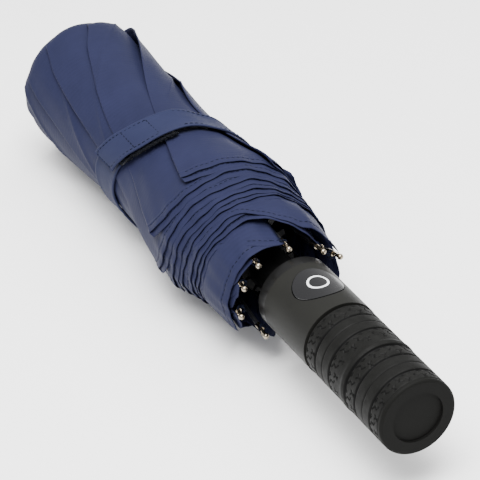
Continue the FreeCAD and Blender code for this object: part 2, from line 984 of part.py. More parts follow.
os.makedirs("parts", exist_ok=True)
for part in parts:
    part.Shape.exportStep(f"parts/{part.Label}.step")
print(f"{len(parts)} parts written")
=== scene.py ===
"""A folding umbrella, rolled, strapped and lying on its side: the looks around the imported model.

Lengths in this script are millimetres in the model's own frame: Y runs from the handle's cap to
the crown, and Z points out of the push button. An angle goes round Y, from +Z towards +X.
"""
import json
import logging
import math
from collections.abc import Callable
from dataclasses import dataclass, field, replace
from enum import Enum

import bpy
import numpy as np
from mathutils import Matrix, Vector


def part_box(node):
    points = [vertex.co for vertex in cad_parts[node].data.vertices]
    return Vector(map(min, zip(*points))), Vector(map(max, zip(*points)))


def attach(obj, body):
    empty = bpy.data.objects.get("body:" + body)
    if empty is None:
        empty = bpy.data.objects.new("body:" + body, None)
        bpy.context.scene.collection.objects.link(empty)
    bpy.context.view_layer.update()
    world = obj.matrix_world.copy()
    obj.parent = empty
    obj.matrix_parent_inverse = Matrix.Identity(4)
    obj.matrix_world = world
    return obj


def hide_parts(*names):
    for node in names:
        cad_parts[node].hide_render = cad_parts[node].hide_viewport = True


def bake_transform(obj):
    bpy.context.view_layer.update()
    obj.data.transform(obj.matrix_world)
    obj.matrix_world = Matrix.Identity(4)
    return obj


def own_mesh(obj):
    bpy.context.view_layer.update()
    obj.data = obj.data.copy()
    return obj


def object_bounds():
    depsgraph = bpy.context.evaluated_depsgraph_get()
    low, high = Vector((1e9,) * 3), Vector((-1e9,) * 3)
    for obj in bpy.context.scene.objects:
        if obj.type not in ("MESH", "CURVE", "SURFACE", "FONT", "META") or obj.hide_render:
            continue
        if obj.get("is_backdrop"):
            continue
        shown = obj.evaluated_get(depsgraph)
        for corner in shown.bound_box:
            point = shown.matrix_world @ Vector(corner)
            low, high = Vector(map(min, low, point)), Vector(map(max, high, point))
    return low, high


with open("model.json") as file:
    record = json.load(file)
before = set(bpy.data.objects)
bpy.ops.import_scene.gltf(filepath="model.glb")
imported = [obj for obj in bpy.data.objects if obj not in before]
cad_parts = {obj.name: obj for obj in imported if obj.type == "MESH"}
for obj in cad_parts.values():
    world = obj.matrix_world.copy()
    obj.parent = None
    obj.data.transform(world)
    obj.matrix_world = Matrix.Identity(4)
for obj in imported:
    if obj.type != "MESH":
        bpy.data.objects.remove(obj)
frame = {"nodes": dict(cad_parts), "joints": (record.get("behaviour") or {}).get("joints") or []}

MM = 0.001
TAU = 2 * math.pi
CLOTH_RADIUS = 30.0
"""Radius that turns an angle round the roll to a length of cloth, for the weave."""

logging.basicConfig(level=logging.INFO, format="%(message)s")
log = logging.getLogger("umbrella")


# ---------------------------------------------------------------- colour, nodes, curves, meshes
def linear(hex_colour: str) -> tuple[float, float, float, float]:
    """Turns an sRGB hex colour to the linear colour that shaders take.

    Args:
        hex_colour: six hex digits, with or without a leading #.

    Returns:
        Linear red, green, blue and an alpha of 1.
    """
    digits = hex_colour.lstrip("#")
    channels = [int(digits[i : i + 2], 16) / 255 for i in (0, 2, 4)]
    red, green, blue = (c / 12.92 if c <= 0.04045 else ((c + 0.055) / 1.055) ** 2.4 for c in channels)
    return (red, green, blue, 1.0)


def add_node(tree: bpy.types.NodeTree, kind: str, inputs: dict | None = None, **settings) -> bpy.types.Node:
    """Adds one node with its settings and what feeds it.

    Args:
        tree: the tree that the node joins.
        kind: the node's type name, without the ShaderNode in front.
        inputs: for each input, by name or index, a value or the socket that links to it.
        **settings: the node's own properties.

    Returns:
        The new node.
    """
    node = tree.nodes.new(f"ShaderNode{kind}")
    for name, value in settings.items():
        setattr(node, name, value)
    feed(tree, node, inputs or {})
    return node


def feed(tree: bpy.types.NodeTree, node: bpy.types.Node, inputs: dict) -> None:
    """Sets or links a node's inputs.

    Args:
        tree: the node's tree.
        node: the node.
        inputs: for each input, by name or index, a value or the socket that links to it.
    """
    for key, value in inputs.items():
        if isinstance(value, bpy.types.NodeSocket):
            tree.links.new(value, node.inputs[key])
        else:
            node.inputs[key].default_value = value


@dataclass(frozen=True)
class Knots:
    """A smooth curve through (place, value) pairs that never overshoots them."""

    pairs: tuple[tuple[float, float], ...]

    def at(self, place: np.ndarray | float) -> np.ndarray:
        """Reads the curve.

        Args:
            place: where to read it; beyond the ends the end value holds.

        Returns:
            The value at each place.
        """
        x = np.array([pair[0] for pair in self.pairs])
        y = np.array([pair[1] for pair in self.pairs])
        step = np.diff(x)
        rise = np.diff(y) / step
        slope = np.zeros_like(x)
        same_way = rise[1:] * rise[:-1] > 0
        mean = 2 * rise[1:] * rise[:-1] / np.where(same_way, rise[1:] + rise[:-1], 1)
        slope[1:-1] = np.where(same_way, mean, 0)
        slope[0], slope[-1] = rise[0], rise[-1]
        place = np.clip(place, x[0], x[-1])
        i = np.clip(np.searchsorted(x, place) - 1, 0, len(x) - 2)
        t = (place - x[i]) / step[i]
        before = (1 + 2 * t) * (1 - t) ** 2 * y[i] + t * (1 - t) ** 2 * step[i] * slope[i]
        return before + t * t * (3 - 2 * t) * y[i + 1] - t * t * (1 - t) * step[i] * slope[i + 1]


def ease(value: np.ndarray | float, low: float, high: float) -> np.ndarray:
    """Goes smoothly from 0 at low to 1 at high."""
    t = np.clip((np.asarray(value, dtype=float) - low) / (high - low), 0, 1)
    return t * t * (3 - 2 * t)


def bell(value: np.ndarray, middle: float, reach: float) -> np.ndarray:
    """Is 1 at the middle and fades smoothly to nothing over a few times its reach."""
    return np.exp(-(((value - middle) / reach) ** 2))


def outward(points: np.ndarray) -> np.ndarray:
    """The direction straight away from the Y axis at each point."""
    out = points * np.array([1, 0, 1])
    return out / np.linalg.norm(out, axis=-1, keepdims=True)


def around(radius: np.ndarray, angle: np.ndarray, place: np.ndarray) -> np.ndarray:
    """Points at a radius, an angle in degrees and a place along Y.

    Args:
        radius: distance from the Y axis.
        angle: degrees from +Z towards +X.
        place: distance along Y.

    Returns:
        An array of points, its last axis x, y, z.
    """
    turn = np.radians(angle)
    radius, turn, place = np.broadcast_arrays(radius, turn, place)
    return np.stack([radius * np.sin(turn), place, radius * np.cos(turn)], axis=-1)


def grid_faces(columns: int, rows: int, ring: bool = False) -> np.ndarray:
    """The four-sided faces of a grid whose points run row by row within each column.

    Args:
        columns: number of columns.
        rows: number of points in a column.
        ring: whether the last column meets the first.

    Returns:
        One row of four point numbers for each face.
    """
    left = np.arange(columns if ring else columns - 1)
    right = (left + 1) % columns
    low = np.arange(rows - 1)
    a = left[:, None] * rows + low
    b = right[:, None] * rows + low
    return np.stack([a, b, b + 1, a + 1], axis=-1).reshape(-1, 4)


def mesh_piece(
    name: str,
    points: np.ndarray,
    faces: np.ndarray | list,
    material: bpy.types.Material,
    weave: np.ndarray | None = None,
) -> bpy.types.Object:
    """Makes a smooth-shaded mesh object.

    Args:
        name: the piece's name.
        points: its points, in millimetres.
        faces: its faces, as point numbers.
        material: what it's made of.
        weave: for each point, its place on the flat material, in millimetres.

    Returns:
        The new object, linked to the scene.
    """
    mesh = bpy.data.meshes.new(name)
    corners_of_faces = faces.tolist() if isinstance(faces, np.ndarray) else faces
    mesh.from_pydata((points.reshape(-1, 3) * MM).tolist(), [], corners_of_faces)
    mesh.polygons.foreach_set("use_smooth", [True] * len(mesh.polygons))
    if weave is not None:
        corners = np.empty(len(mesh.loops), dtype=int)
        mesh.loops.foreach_get("vertex_index", corners)
        layer = mesh.uv_layers.new(name="cloth")
        layer.data.foreach_set("uv", (weave.reshape(-1, 2)[corners] * MM).ravel())
    mesh.materials.append(material)
    mesh.validate()
    piece = bpy.data.objects.new(name, mesh)
    bpy.context.scene.collection.objects.link(piece)
    log.info("built %s: %d faces", name, len(mesh.polygons))
    return piece


def radius_of(node: str) -> float:
    """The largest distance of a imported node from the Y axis, seen along X, in millimetres."""
    low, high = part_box(node)
    return max(abs(low[0]), abs(high[0])) / MM


def span_of(node: str) -> tuple[float, float]:
    """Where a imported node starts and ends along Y, in millimetres."""
    low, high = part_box(node)
    return low[1] / MM, high[1] / MM


# ---------------------------------------------------------------- finishes
@dataclass(frozen=True)
class Finish:
    """What every finish has: a name, and a shader that its own build method wires up."""

    name: str

    def start(self) -> tuple[bpy.types.Material, bpy.types.NodeTree, bpy.types.Node]:
        """Makes the material with its output and a plain shader.

        Returns:
            The material, its node tree and its Principled shader.
        """
        material = bpy.data.materials.new(self.name)
        material.use_nodes = True
        tree = material.node_tree
        tree.nodes.clear()
        shader = add_node(tree, "BsdfPrincipled")
        add_node(tree, "OutputMaterial", {"Surface": shader.outputs["BSDF"]})
        return material, tree, shader


@dataclass(frozen=True)
class PongeePolyester(Finish):
    """Pongee: plain-woven, calendered polyester, dyed navy and coated on its back.

    The hot rollers leave the threads flat, so it has a soft sheen and shows long, gentle
    highlights. Faint stripes cross it where the thread count beats with the eye's own grid.
    """

    lit: str = "22243A"
    shaded: str = "17192A"
    roughness: float = 0.5
    thread_gap: float = 0.75
    """The real gap is about 0.1 mm, too fine to show, so the weave is drawn this coarse."""
    stripe_gap: float = 2.3
    stripe_tilt: float = 8.0
    blotch: float = 26.0

    def build(self) -> bpy.types.Material:
        """Wires threads, stripes and uneven dye into colour, roughness and bump."""
        material, tree, shader = self.start()
        place = add_node(tree, "TexCoord").outputs["UV"]
        tilt = add_node(
            tree,
            "Mapping",
            {"Vector": place, "Rotation": (0, 0, math.radians(self.stripe_tilt))},
        ).outputs["Vector"]
        per_wave = TAU / 20
        heights = []
        for direction in ("X", "Y"):
            wave = add_node(
                tree,
                "TexWave",
                {"Vector": place, "Scale": per_wave / (self.thread_gap * MM), "Distortion": 0.4},
                bands_direction=direction,
            )
            heights.append(wave.outputs["Fac"])
        threads = add_node(tree, "Math", {0: heights[0], 1: heights[1]}, operation="MULTIPLY").outputs[0]
        stripe = add_node(
            tree,
            "TexWave",
            {
                "Vector": tilt,
                "Scale": per_wave / (self.stripe_gap * MM),
                "Distortion": 1.5,
                "Detail": 1.0,
                "Detail Scale": 0.3,
            },
            bands_direction="Y",
        ).outputs["Fac"]
        uneven = add_node(
            tree, "TexNoise", {"Vector": place, "Scale": 1 / (self.blotch * MM), "Detail": 3.0}
        ).outputs["Fac"]
        slub = add_node(
            tree, "TexNoise", {"Vector": place, "Scale": 1 / (4 * MM), "Detail": 4.0}
        ).outputs["Fac"]
        tone = add_node(
            tree, "Math", {0: uneven, 1: 0.6, 2: 0.12}, operation="MULTIPLY_ADD"
        ).outputs[0]
        tone = add_node(tree, "Math", {0: stripe, 1: 0.13, 2: tone}, operation="MULTIPLY_ADD").outputs[0]
        tone = add_node(tree, "Math", {0: slub, 1: 0.22, 2: tone}, operation="MULTIPLY_ADD").outputs[0]
        colour = add_node(
            tree,
            "Mix",
            {"Factor": tone, "A": linear(self.shaded), "B": linear(self.lit)},
            data_type="RGBA",
        )
        rough = add_node(
            tree, "Math", {0: stripe, 1: 0.08, 2: self.roughness - 0.04}, operation="MULTIPLY_ADD"
        ).outputs[0]
        bump = add_node(
            tree, "Bump", {"Height": threads, "Strength": 0.28, "Distance": 0.06 * MM}
        ).outputs["Normal"]
        soft = add_node(
            tree, "Bump", {"Height": slub, "Strength": 0.35, "Distance": 0.25 * MM, "Normal": bump}
        ).outputs["Normal"]
        looks = {
            "Base Color": colour.outputs["Result"],
            "Roughness": rough,
            "Normal": soft,
            "IOR": 1.45,
            "Specular IOR Level": 0.03,
            "Sheen Weight": 0.01,
            "Sheen Roughness": 0.35,
            "Sheen Tint": linear("8C95C4"),
        }
        feed(tree, shader, looks)
        return material


@dataclass(frozen=True)
class MouldedPlastic(Finish):
    """An injection-moulded plastic: fine spark grain, with an uneven sheen from handling.

    The grain spreads each highlight into a soft band; a low roughness makes it a gloss part.
    """

    colour: str = "1B1B19"
    worn: str = "20201E"
    roughness: float = 0.42
    grain: float = 0.5
    """Spark grain is about 0.05 mm, too fine to show, so it is drawn this coarse."""
    depth: float = 0.02
    coat: float = 0.0
    shine: float = 0.12

    def build(self) -> bpy.types.Material:
        """Wires the grain and the handling marks."""
        material, tree, shader = self.start()
        place = add_node(tree, "TexCoord").outputs["Object"]
        grain = add_node(
            tree, "TexNoise", {"Vector": place, "Scale": 1 / (self.grain * MM), "Detail": 2.0}
        ).outputs["Fac"]
        marks = add_node(
            tree, "TexNoise", {"Vector": place, "Scale": 1 / (14 * MM), "Detail": 5.0}
        ).outputs["Fac"]
        colour = add_node(
            tree,
            "Mix",
            {"Factor": marks, "A": linear(self.colour), "B": linear(self.worn)},
            data_type="RGBA",
        )
        rough = add_node(
            tree, "Math", {0: marks, 1: 0.12, 2: self.roughness - 0.06}, operation="MULTIPLY_ADD"
        ).outputs[0]
        bump = add_node(
            tree, "Bump", {"Height": grain, "Strength": 0.5, "Distance": self.depth * MM}
        ).outputs["Normal"]
        looks = {
            "Base Color": colour.outputs["Result"],
            "Roughness": rough,
            "Normal": bump,
            "IOR": 1.5,
            "Specular IOR Level": self.shine,
            "Coat Weight": self.coat,
            "Coat Roughness": 0.12,
        }
        feed(tree, shader, looks)
        return material


@dataclass(frozen=True)
class GripRubber(Finish):
    """Thermoplastic rubber, moulded over the handle and left matt.

    It scatters light widely and greys where the palm rubs it; its grooves carry painted shade, near black.
    """

    colour: str = "0A0A09"
    rubbed: str = "0F0F0E"
    # Near-black colour painted into the grooves as shade.
    deep: str = "030303"
    roughness: float = 0.6
    speckle: float = 0.7

    def build(self) -> bpy.types.Material:
        """Wires rubbed patches, painted shade in the grooves and a fine pitted grain."""
        material, tree, shader = self.start()
        place = add_node(tree, "TexCoord").outputs["Object"]
        rubbed = add_node(
            tree, "TexNoise", {"Vector": place, "Scale": 1 / (5 * MM), "Detail": 6.0, "Roughness": 0.65}
        ).outputs["Fac"]
        spread = add_node(
            tree, "MapRange", {"Value": rubbed, "From Min": 0.35, "From Max": 0.65}
        ).outputs["Result"]
        pits = add_node(
            tree, "TexVoronoi", {"Vector": place, "Scale": 1 / (self.speckle * MM)}
        ).outputs["Distance"]
        colour = add_node(
            tree,
            "Mix",
            {"Factor": spread, "A": linear(self.colour), "B": linear(self.rubbed)},
            data_type="RGBA",
        )
        # Painted shade: the deeper a groove, the nearer its colour goes to the near-black deep colour.
        cut = add_node(tree, "Attribute", attribute_name="cut").outputs["Fac"]
        painted_groove_shade = add_node(
            tree,
            "Mix",
            {"Factor": cut, "A": colour.outputs["Result"], "B": linear(self.deep)},
            data_type="RGBA",
        )
        rough = add_node(
            tree, "Math", {0: spread, 1: -0.12, 2: self.roughness + 0.06}, operation="MULTIPLY_ADD"
        ).outputs[0]
        bump = add_node(
            tree, "Bump", {"Height": pits, "Strength": 0.35, "Distance": 0.06 * MM}
        ).outputs["Normal"]
        looks = {
            "Base Color": painted_groove_shade.outputs["Result"],
            "Roughness": rough,
            "Normal": bump,
            "IOR": 1.5,
            "Specular IOR Level": 0.08,
        }
        feed(tree, shader, looks)
        return material


@dataclass(frozen=True)
class WorkedSteel(Finish):
    """Steel that was drawn, plated or painted; scratches run along the drawing direction.

    Plating mirrors the studio in small sharp spots, and black paint keeps only a dull edge.
    """

    colour: str = "A5A29C"
    roughness: float = 0.25
    metallic: float = 1.0
    scratch: float = 0.6
    depth: float = 0.01

    def build(self) -> bpy.types.Material:
        """Wires long scratches along Y into roughness and bump."""
        material, tree, shader = self.start()
        place = add_node(tree, "TexCoord").outputs["Object"]
        along = add_node(tree, "Mapping", {"Vector": place, "Scale": (1, 0.05, 1)}).outputs["Vector"]
        scratches = add_node(
            tree, "TexNoise", {"Vector": along, "Scale": 1 / (self.scratch * MM), "Detail": 4.0}
        ).outputs["Fac"]
        rough = add_node(
            tree, "Math", {0: scratches, 1: 0.2, 2: self.roughness - 0.1}, operation="MULTIPLY_ADD"
        ).outputs[0]
        bump = add_node(
            tree, "Bump", {"Height": scratches, "Strength": 0.4, "Distance": self.depth * MM}
        ).outputs["Normal"]
        looks = {
            "Roughness": rough,
            "Normal": bump,
            "Base Color": linear(self.colour),
            "Metallic": self.metallic,
        }
        feed(tree, shader, looks)
        return material


@dataclass(frozen=True)
class NylonPile(Finish):
    """Hook-and-loop tape: black nylon filament, extruded, shiny along each tiny loop."""

    colour: str = "040406"
    tipped: str = "0D1018"

    def build(self) -> bpy.types.Material:
        """Wires clumps of pile into colour and bump."""
        material, tree, shader = self.start()
        place = add_node(tree, "TexCoord").outputs["Object"]
        clumps = add_node(
            tree, "TexVoronoi", {"Vector": place, "Scale": 1 / (0.9 * MM), "Randomness": 0.8}
        ).outputs["Distance"]
        colour = add_node(
            tree,
            "Mix",
            {"Factor": clumps, "A": linear(self.tipped), "B": linear(self.colour)},
            data_type="RGBA",
        )
        bump = add_node(
            tree, "Bump", {"Height": clumps, "Strength": 0.9, "Distance": 0.3 * MM}
        ).outputs["Normal"]
        looks = {
            "Base Color": colour.outputs["Result"],
            "Normal": bump,
            "Roughness": 0.38,
            "IOR": 1.53,
            "Specular IOR Level": 0.12,
        }
        feed(tree, shader, looks)
        return material


@dataclass(frozen=True)
class SpunThread(Finish):
    """Spun polyester sewing thread: two plies twisted together, matt with a dark twist line."""

    colour: str = "05070F"
    lit: str = "0D1120"
    twist: float = 0.8

    def build(self) -> bpy.types.Material:
        """Wires the twist of the plies."""
        material, tree, shader = self.start()
        place = add_node(tree, "TexCoord").outputs["Object"]
        plies = add_node(
            tree,
            "TexWave",
            {"Vector": place, "Scale": TAU / 20 / (self.twist * MM), "Distortion": 2.0},
            bands_direction="DIAGONAL",
        ).outputs["Fac"]
        colour = add_node(
            tree,
            "Mix",
            {"Factor": plies, "A": linear(self.colour), "B": linear(self.lit)},
            data_type="RGBA",
        )
        bump = add_node(
            tree, "Bump", {"Height": plies, "Strength": 0.6, "Distance": 0.05 * MM}
        ).outputs["Normal"]
        looks = {
            "Base Color": colour.outputs["Result"],
            "Normal": bump,
            "Roughness": 0.7,
            "Specular IOR Level": 0.05,
        }
        feed(tree, shader, looks)
        return material


@dataclass(frozen=True)
class StudioPaper(Finish):
    """Background paper, uncoated: an even, nearly white matt with a trace of fibre."""

    colour: str = "F7F7F7"
    fibre: float = 3.0

    def build(self) -> bpy.types.Material:
        """Wires the faint fibre."""
        material, tree, shader = self.start()
        place = add_node(tree, "TexCoord").outputs["Object"]
        fibres = add_node(
            tree, "TexNoise", {"Vector": place, "Scale": 1 / (self.fibre * MM), "Detail": 4.0}
        ).outputs["Fac"]
        bump = add_node(
            tree, "Bump", {"Height": fibres, "Strength": 0.05, "Distance": 0.02 * MM}
        ).outputs["Normal"]
        looks = {
            "Normal": bump,
            "Base Color": linear(self.colour),
            "Roughness": 0.9,
        }
        feed(tree, shader, looks)
        return material


class Wardrobe:
    """Every finish of the umbrella, built once."""

    def __init__(self) -> None:
        """Builds the materials."""
        self.pongee = PongeePolyester("pongee_navy").build()
        self.webbing = PongeePolyester(
            "pongee_strap", lit="25283E", shaded="1A1D2F", roughness=0.55, stripe_gap=1.4
        ).build()
        self.pile = NylonPile("hook_and_loop_nylon").build()
        self.thread = SpunThread("thread_navy").build()
        self.shell = MouldedPlastic(
            "abs_soft_touch", colour="191918", worn="1F1F1D", depth=0.015, shine=0.035
        ).build()
        self.collar = MouldedPlastic(
            "abs_polished", colour="0B0B0B", worn="0F0F0F", roughness=0.36, depth=0.003, coat=0.15
        ).build()
        self.gloss = MouldedPlastic(
            "abs_gloss_button", colour="101011", worn="141416", roughness=0.26, depth=0.004, coat=0.4
        ).build()
        self.cap = MouldedPlastic(
            "tpe_cap", colour="0E0E0D", worn="121211", roughness=0.6, depth=0.02, shine=0.04
        ).build()
        self.inner = MouldedPlastic(
            "nylon_inner", colour="060606", worn="0A0A0A", roughness=0.5
        ).build()
        self.pale = MouldedPlastic(
            "pad_printed_white", colour="D9DADC", worn="E6E6E8", roughness=0.35, depth=0.003
        ).build()
        self.grip = GripRubber("tpe_grip").build()
        self.nickel = WorkedSteel("steel_nickel_plated", colour="8E8474", roughness=0.22).build()
        self.drawn = WorkedSteel("steel_drawn_tube", colour="9A9C9F", roughness=0.28).build()
        self.spring = WorkedSteel("spring_wire", colour="7F8184", roughness=0.35).build()
        self.painted = WorkedSteel(
            "steel_black_paint", colour="15161A", roughness=0.45, metallic=0.0, depth=0.02
        ).build()
        self.paper = StudioPaper("studio_paper").build()


def dress(material: bpy.types.Material, *nodes: str) -> None:
    """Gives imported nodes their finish.

    Args:
        material: what the nodes are made of.
        *nodes: the nodes' names.
    """
    for node in nodes:
        for slot in frame["nodes"][node].material_slots:
            slot.material = material
        log.info("dressed %s in %s", node, material.name)


def numbered(stem: str) -> list[str]:
    """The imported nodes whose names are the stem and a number."""
    return sorted(name for name in frame["nodes"] if name.startswith(stem))


# ---------------------------------------------------------------- stitching
@dataclass
class StitchRow:
    """Gathers single stitches into one mesh."""

    length: float = 2.0
    gap: float = 0.9
    thick: float = 0.2
    sides: int = 6
    points: list = field(default_factory=list)
    faces: list = field(default_factory=list)

    def sew(self, path: np.ndarray, out: np.ndarray) -> None:
        """Lays stitches along a path.

        Args:
            path: points on the cloth.
            out: the cloth's outward direction at each point.
        """
        run = np.concatenate([[0], np.cumsum(np.linalg.norm(np.diff(path, axis=0), axis=1))])
        for start in np.arange(self.gap, run[-1] - self.length, self.length + self.gap):
            stops = start + self.length * np.array([0.0, 0.18, 0.5, 0.82, 1.0])
            line = np.stack([np.interp(stops, run, path[:, i]) for i in range(3)], axis=-1)
            up = np.stack([np.interp(stops, run, out[:, i]) for i in range(3)], axis=-1)
            self.stitch(line, up)

    def stitch(self, line: np.ndarray, up: np.ndarray) -> None:
        """Adds one stitch that dips into the cloth at both ends.

        Args:
            line: its five points.
            up: the outward direction at each.
        """
        first = len(self.points)
        along = line[-1] - line[0]
        along = along / np.linalg.norm(along)
        swell = np.array([0.35, 0.9, 1.0, 0.9, 0.35]) * self.thick
        lift = np.array([-0.8, 0.1, 0.3, 0.1, -0.8]) * self.thick
        for i in range(5):
            side = np.cross(along, up[i])
            for j in range(self.sides):
                turn = TAU * j / self.sides
                ring = math.cos(turn) * side + math.sin(turn) * up[i]
                self.points.append(line[i] + up[i] * lift[i] + ring * swell[i])
        for i in range(4):
            for j in range(self.sides):
                a = first + i * self.sides + j
                b = first + i * self.sides + (j + 1) % self.sides
                self.faces.append([a, b, b + self.sides, a + self.sides])
        self.faces.append([first + j for j in reversed(range(self.sides))])
        self.faces.append([first + 4 * self.sides + j for j in range(self.sides)])

    def finish(self, name: str, material: bpy.types.Material) -> bpy.types.Object:
        """Makes the object that holds every stitch sewn so far."""
        return mesh_piece(name, np.array(self.points), self.faces, material)


# ---------------------------------------------------------------- rolled canopy
class Ply(Enum):
    """The two plies of a pleat: the one that shows, and the one folded under it."""

    OUTER = 0
    INNER = 1


@dataclass(frozen=True)
class Pleat:
    """One pleat: where its fold lies round the roll, and how it stands.

    Attributes:
        crown: angle of the fold at the crown's rim.
        strap: angle where it goes under the strap.
        corner: angle of its hem corner.
        rise: how far the hem corner lies above the roll's mouth.
        stand: how far the fold stands off the roll near the crown.
        dip: how far the rim drops at the fold.
        settle: pleats from its rib tip back to where its hem comes down to the tips.
    """

    crown: float
    strap: float
    corner: float
    rise: float
    stand: float
    dip: float
    settle: float = 0.5


@dataclass
class RolledCanopy:
    """The canopy: one sheet, pleated ten times and wound round the folded ribs.

    Each pleat's fold runs slanting from the crown's rim to a hem corner. From there its two
    hems wind down to the rib tips, so that the mouth shows one hem edge nested over the next.
    """

    outline: tuple = (
        (-2.5, 25.6),
        (7.0, 27.0),
        (20.0, 28.7),
        (33.0, 29.8),
        (44.0, 32.3),
        (55.0, 33.6),
        (66.0, 32.4),
        (81.0, 30.5),
        (98.0, 28.7),
        (117.0, 28.5),
        (140.0, 29.1),
        (169.0, 29.6),
        (194.0, 31.0),
        (202.0, 31.1),
    )
    """Rise above the mouth, and radius, up to where the rim starts to turn in."""
    rim: tuple = (
        (30.5, -4.0),
        (29.1, -1.5),
        (26.6, -0.3),
        (23.0, -1.2),
        (18.0, -3.0),
        (13.0, -4.7),
        (9.2, -5.9),
        (5.0, -6.2),
    )
    """Radius, and place against the roll's crown end, from the rim to under the cap."""
    pleats: tuple = (
        Pleat(-43.0, -80.0, -114.0, 58.0, 0.9, 5.0),
        Pleat(-3.0, -57.0, -82.0, 57.8, 0.9, 6.5),
        Pleat(46.0, -12.0, -35.0, 55.4, 2.4, 0.0),
        Pleat(88.0, 31.0, 33.0, 49.0, 1.6, 3.0),
        Pleat(122.0, 68.0, 64.0, 56.0, 1.0, 2.0),
        Pleat(155.0, 104.0, 96.0, 57.0, 1.4, 4.0, 3.0),
        Pleat(188.0, 140.0, 128.0, 55.0, 0.9, 1.0),
        Pleat(221.0, 176.0, 160.0, 58.0, 1.3, 3.0, 1.3),
        Pleat(253.0, 212.0, 190.0, 56.0, 1.0, 2.0),
        Pleat(285.0, 246.0, 220.0, 57.5, 1.2, 4.0),
    )
    drops: tuple = (
        (0, 0),
        (0.5, 6),
        (1, 9.6),
        (1.5, 12.8),
        (2, 16.2),
        (3, 22.4),
        (4, 28.4),
        (5, 34),
        (6, 39.6),
        (6.5, 42.6),
        (7, 46.2),
        (7.5, 51.5),
        (8, 59),
    )
    """Pleats wound over since its own corner, and drop of a hem below that corner."""
    usual_rise: float = 56.5
    rise_fade: float = 0.6
    """Pleats wound over while a hem goes from its own corner's rise to the usual one."""
    hem_over_tip: float = 3.4
    hem_step: float = 1.7
    """How far a hem lies above its rib tip, and how much further for each pleat before it."""
    inner_settle: float = 0.15
    settle_span: float = 0.75
    """Pleats over which a hem comes down to the tips."""
    hem_wave: float = 0.5
    tip_clear: float = 1.3
    """How far the outline lies outside the rib tips at the mouth."""
    ball_length: float = 2.5
    count_from: float = 30.0
    """Angle between two rib tips, where their count starts so that it splits none of them."""
    tip_parting: float = 8.0
    """Degrees without any metal that part one tip from the next."""
    strap_rise: float = 110.0
    crown_rise: float = 197.0
    """Rise above the mouth where folds go under the strap, and where they reach the crown."""
    rim_turn: tuple = (203.0, 216.0)
    dip_span: tuple = (178.0, 204.0)
    stand_span: tuple = (128.0, 196.0)
    shown_span: tuple = (50.0, 75.0)
    slow_end: tuple = (196.0, 208.0)
    crease_span: tuple = (112.0, 130.0)
    mouth_span: tuple = (45.0, 75.0)
    """Rises above the mouth between which each shape of the cloth comes in or goes out."""
    tied_at: float = 106.0
    """Rise above the mouth where the strap holds the cloth down."""
    swell: float = 0.55
    slow: tuple = (0.35, 0.25)
    pull: float = 0.3
    crease: float = 0.75
    flutter: tuple = (0.35, 0.22, 0.12)
    hem_fold: float = 0.16
    hem_pull: float = 0.3
    fold_stand: float = 0.8
    corner_stand: float = 1.1
    """Heights of the cloth's swells, waves, pulls, creases, hems, folds and corners."""
    least_radius: float = 3.0
    even_share: float = 0.25
    """How evenly a ply's columns are spaced; the rest crowd towards its fold."""
    loose_share: float = 0.375
    """How much of a pleat's depth is softened where it starts to be wound over."""
    pitch: float = 1.4
    """How much each pleat adds to the roll's radius."""
    hidden_width: float = 78.0
    """Degrees that each pleat still reaches under the others, up at the crown."""
    thick: float = 0.28
    hem_turn: float = 4.4
    """Width of the turned hem."""
    stitch_in: float = 3.4
    outer_columns: int = 112
    inner_columns: int = 84
    near_rows: tuple = (0, 0.5, 1.3, 2.3, 3.1, 3.4, 3.7, 4.3, 4.6, 5.4, 6.8, 8.8, 11.5, 15, 19)
    far_rows: int = 64

    def build(self, wardrobe: Wardrobe) -> None:
        """Builds the sheet and its hem stitching.

        Args:
            wardrobe: the finishes.
        """
        self.measure()
        points, weave = self.sheet_points()
        columns, rows = points.shape[:2]
        faces = grid_faces(columns, rows, ring=True)
        sheet = mesh_piece("canopy_sheet", points, faces, wardrobe.pongee, weave)
        shell = sheet.modifiers.new("cloth", "SOLIDIFY")
        shell.thickness = self.thick * MM
        shell.offset = 0
        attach(sheet, "canopy")
        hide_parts("canopy_roll")
        threads = self.hem_stitches(points).finish("hem_stitching", wardrobe.thread)
        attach(threads, "canopy")

    def measure(self) -> None:
        """Reads the roll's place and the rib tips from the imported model."""
        self.mouth, self.end = span_of("canopy_roll")
        self.tips = self.rib_tips()
        tips_radius = sum(tip[1] for tip in self.tips) / len(self.tips)
        path = [(self.mouth + rise, radius) for rise, radius in self.outline]
        path[0] = (path[0][0], tips_radius + self.tip_clear)
        path += [(self.end + drop, radius) for radius, drop in self.rim]
        places = [path[0][0]]
        for before, after in zip(path, path[1:]):
            straight = after[0] < self.mouth + self.outline[-1][0] + 0.01
            step = after[0] - before[0] if straight else math.dist(before, after)
            places.append(places[-1] + step)
        self.radius_at = Knots(tuple((s, point[1]) for s, point in zip(places, path)))
        self.place_at = Knots(tuple((s, point[0]) for s, point in zip(places, path)))
        self.path_end = places[-1]
        self.drop = Knots(self.drops)
        self.undrop = Knots(tuple((drop, count) for count, drop in self.drops))
        count = len(self.pleats)
        corners = [
            (pleat.corner + 360 * lap, index + count * lap)
            for lap in range(-1, 4)
            for index, pleat in enumerate(self.pleats)
        ]
        self.count_at = Knots(tuple(corners))

    def rib_tips(self) -> list[tuple[float, float, float]]:
        """Finds the rib tips' balls.

        Returns:
            For each tip, in order round the roll, its angle, radius and place along Y.
        """
        node = frame["nodes"]["rib_tips"]
        points = np.array([node.matrix_world @ v.co for v in node.data.vertices]) / MM
        ball = points[points[:, 1] < points[:, 1].min() + self.ball_length]
        angles = (np.degrees(np.arctan2(ball[:, 0], ball[:, 2])) - self.count_from) % 360
        order = np.argsort(angles)
        partings = np.nonzero(np.diff(angles[order]) > self.tip_parting)[0]
        groups = np.split(order, partings + 1)
        tips = []
        for group in groups:
            middle = ball[group].mean(axis=0)
            angle = math.degrees(math.atan2(middle[0], middle[2])) % 360
            tips.append((angle, math.hypot(middle[0], middle[2]), middle[1]))
        return sorted(tips)

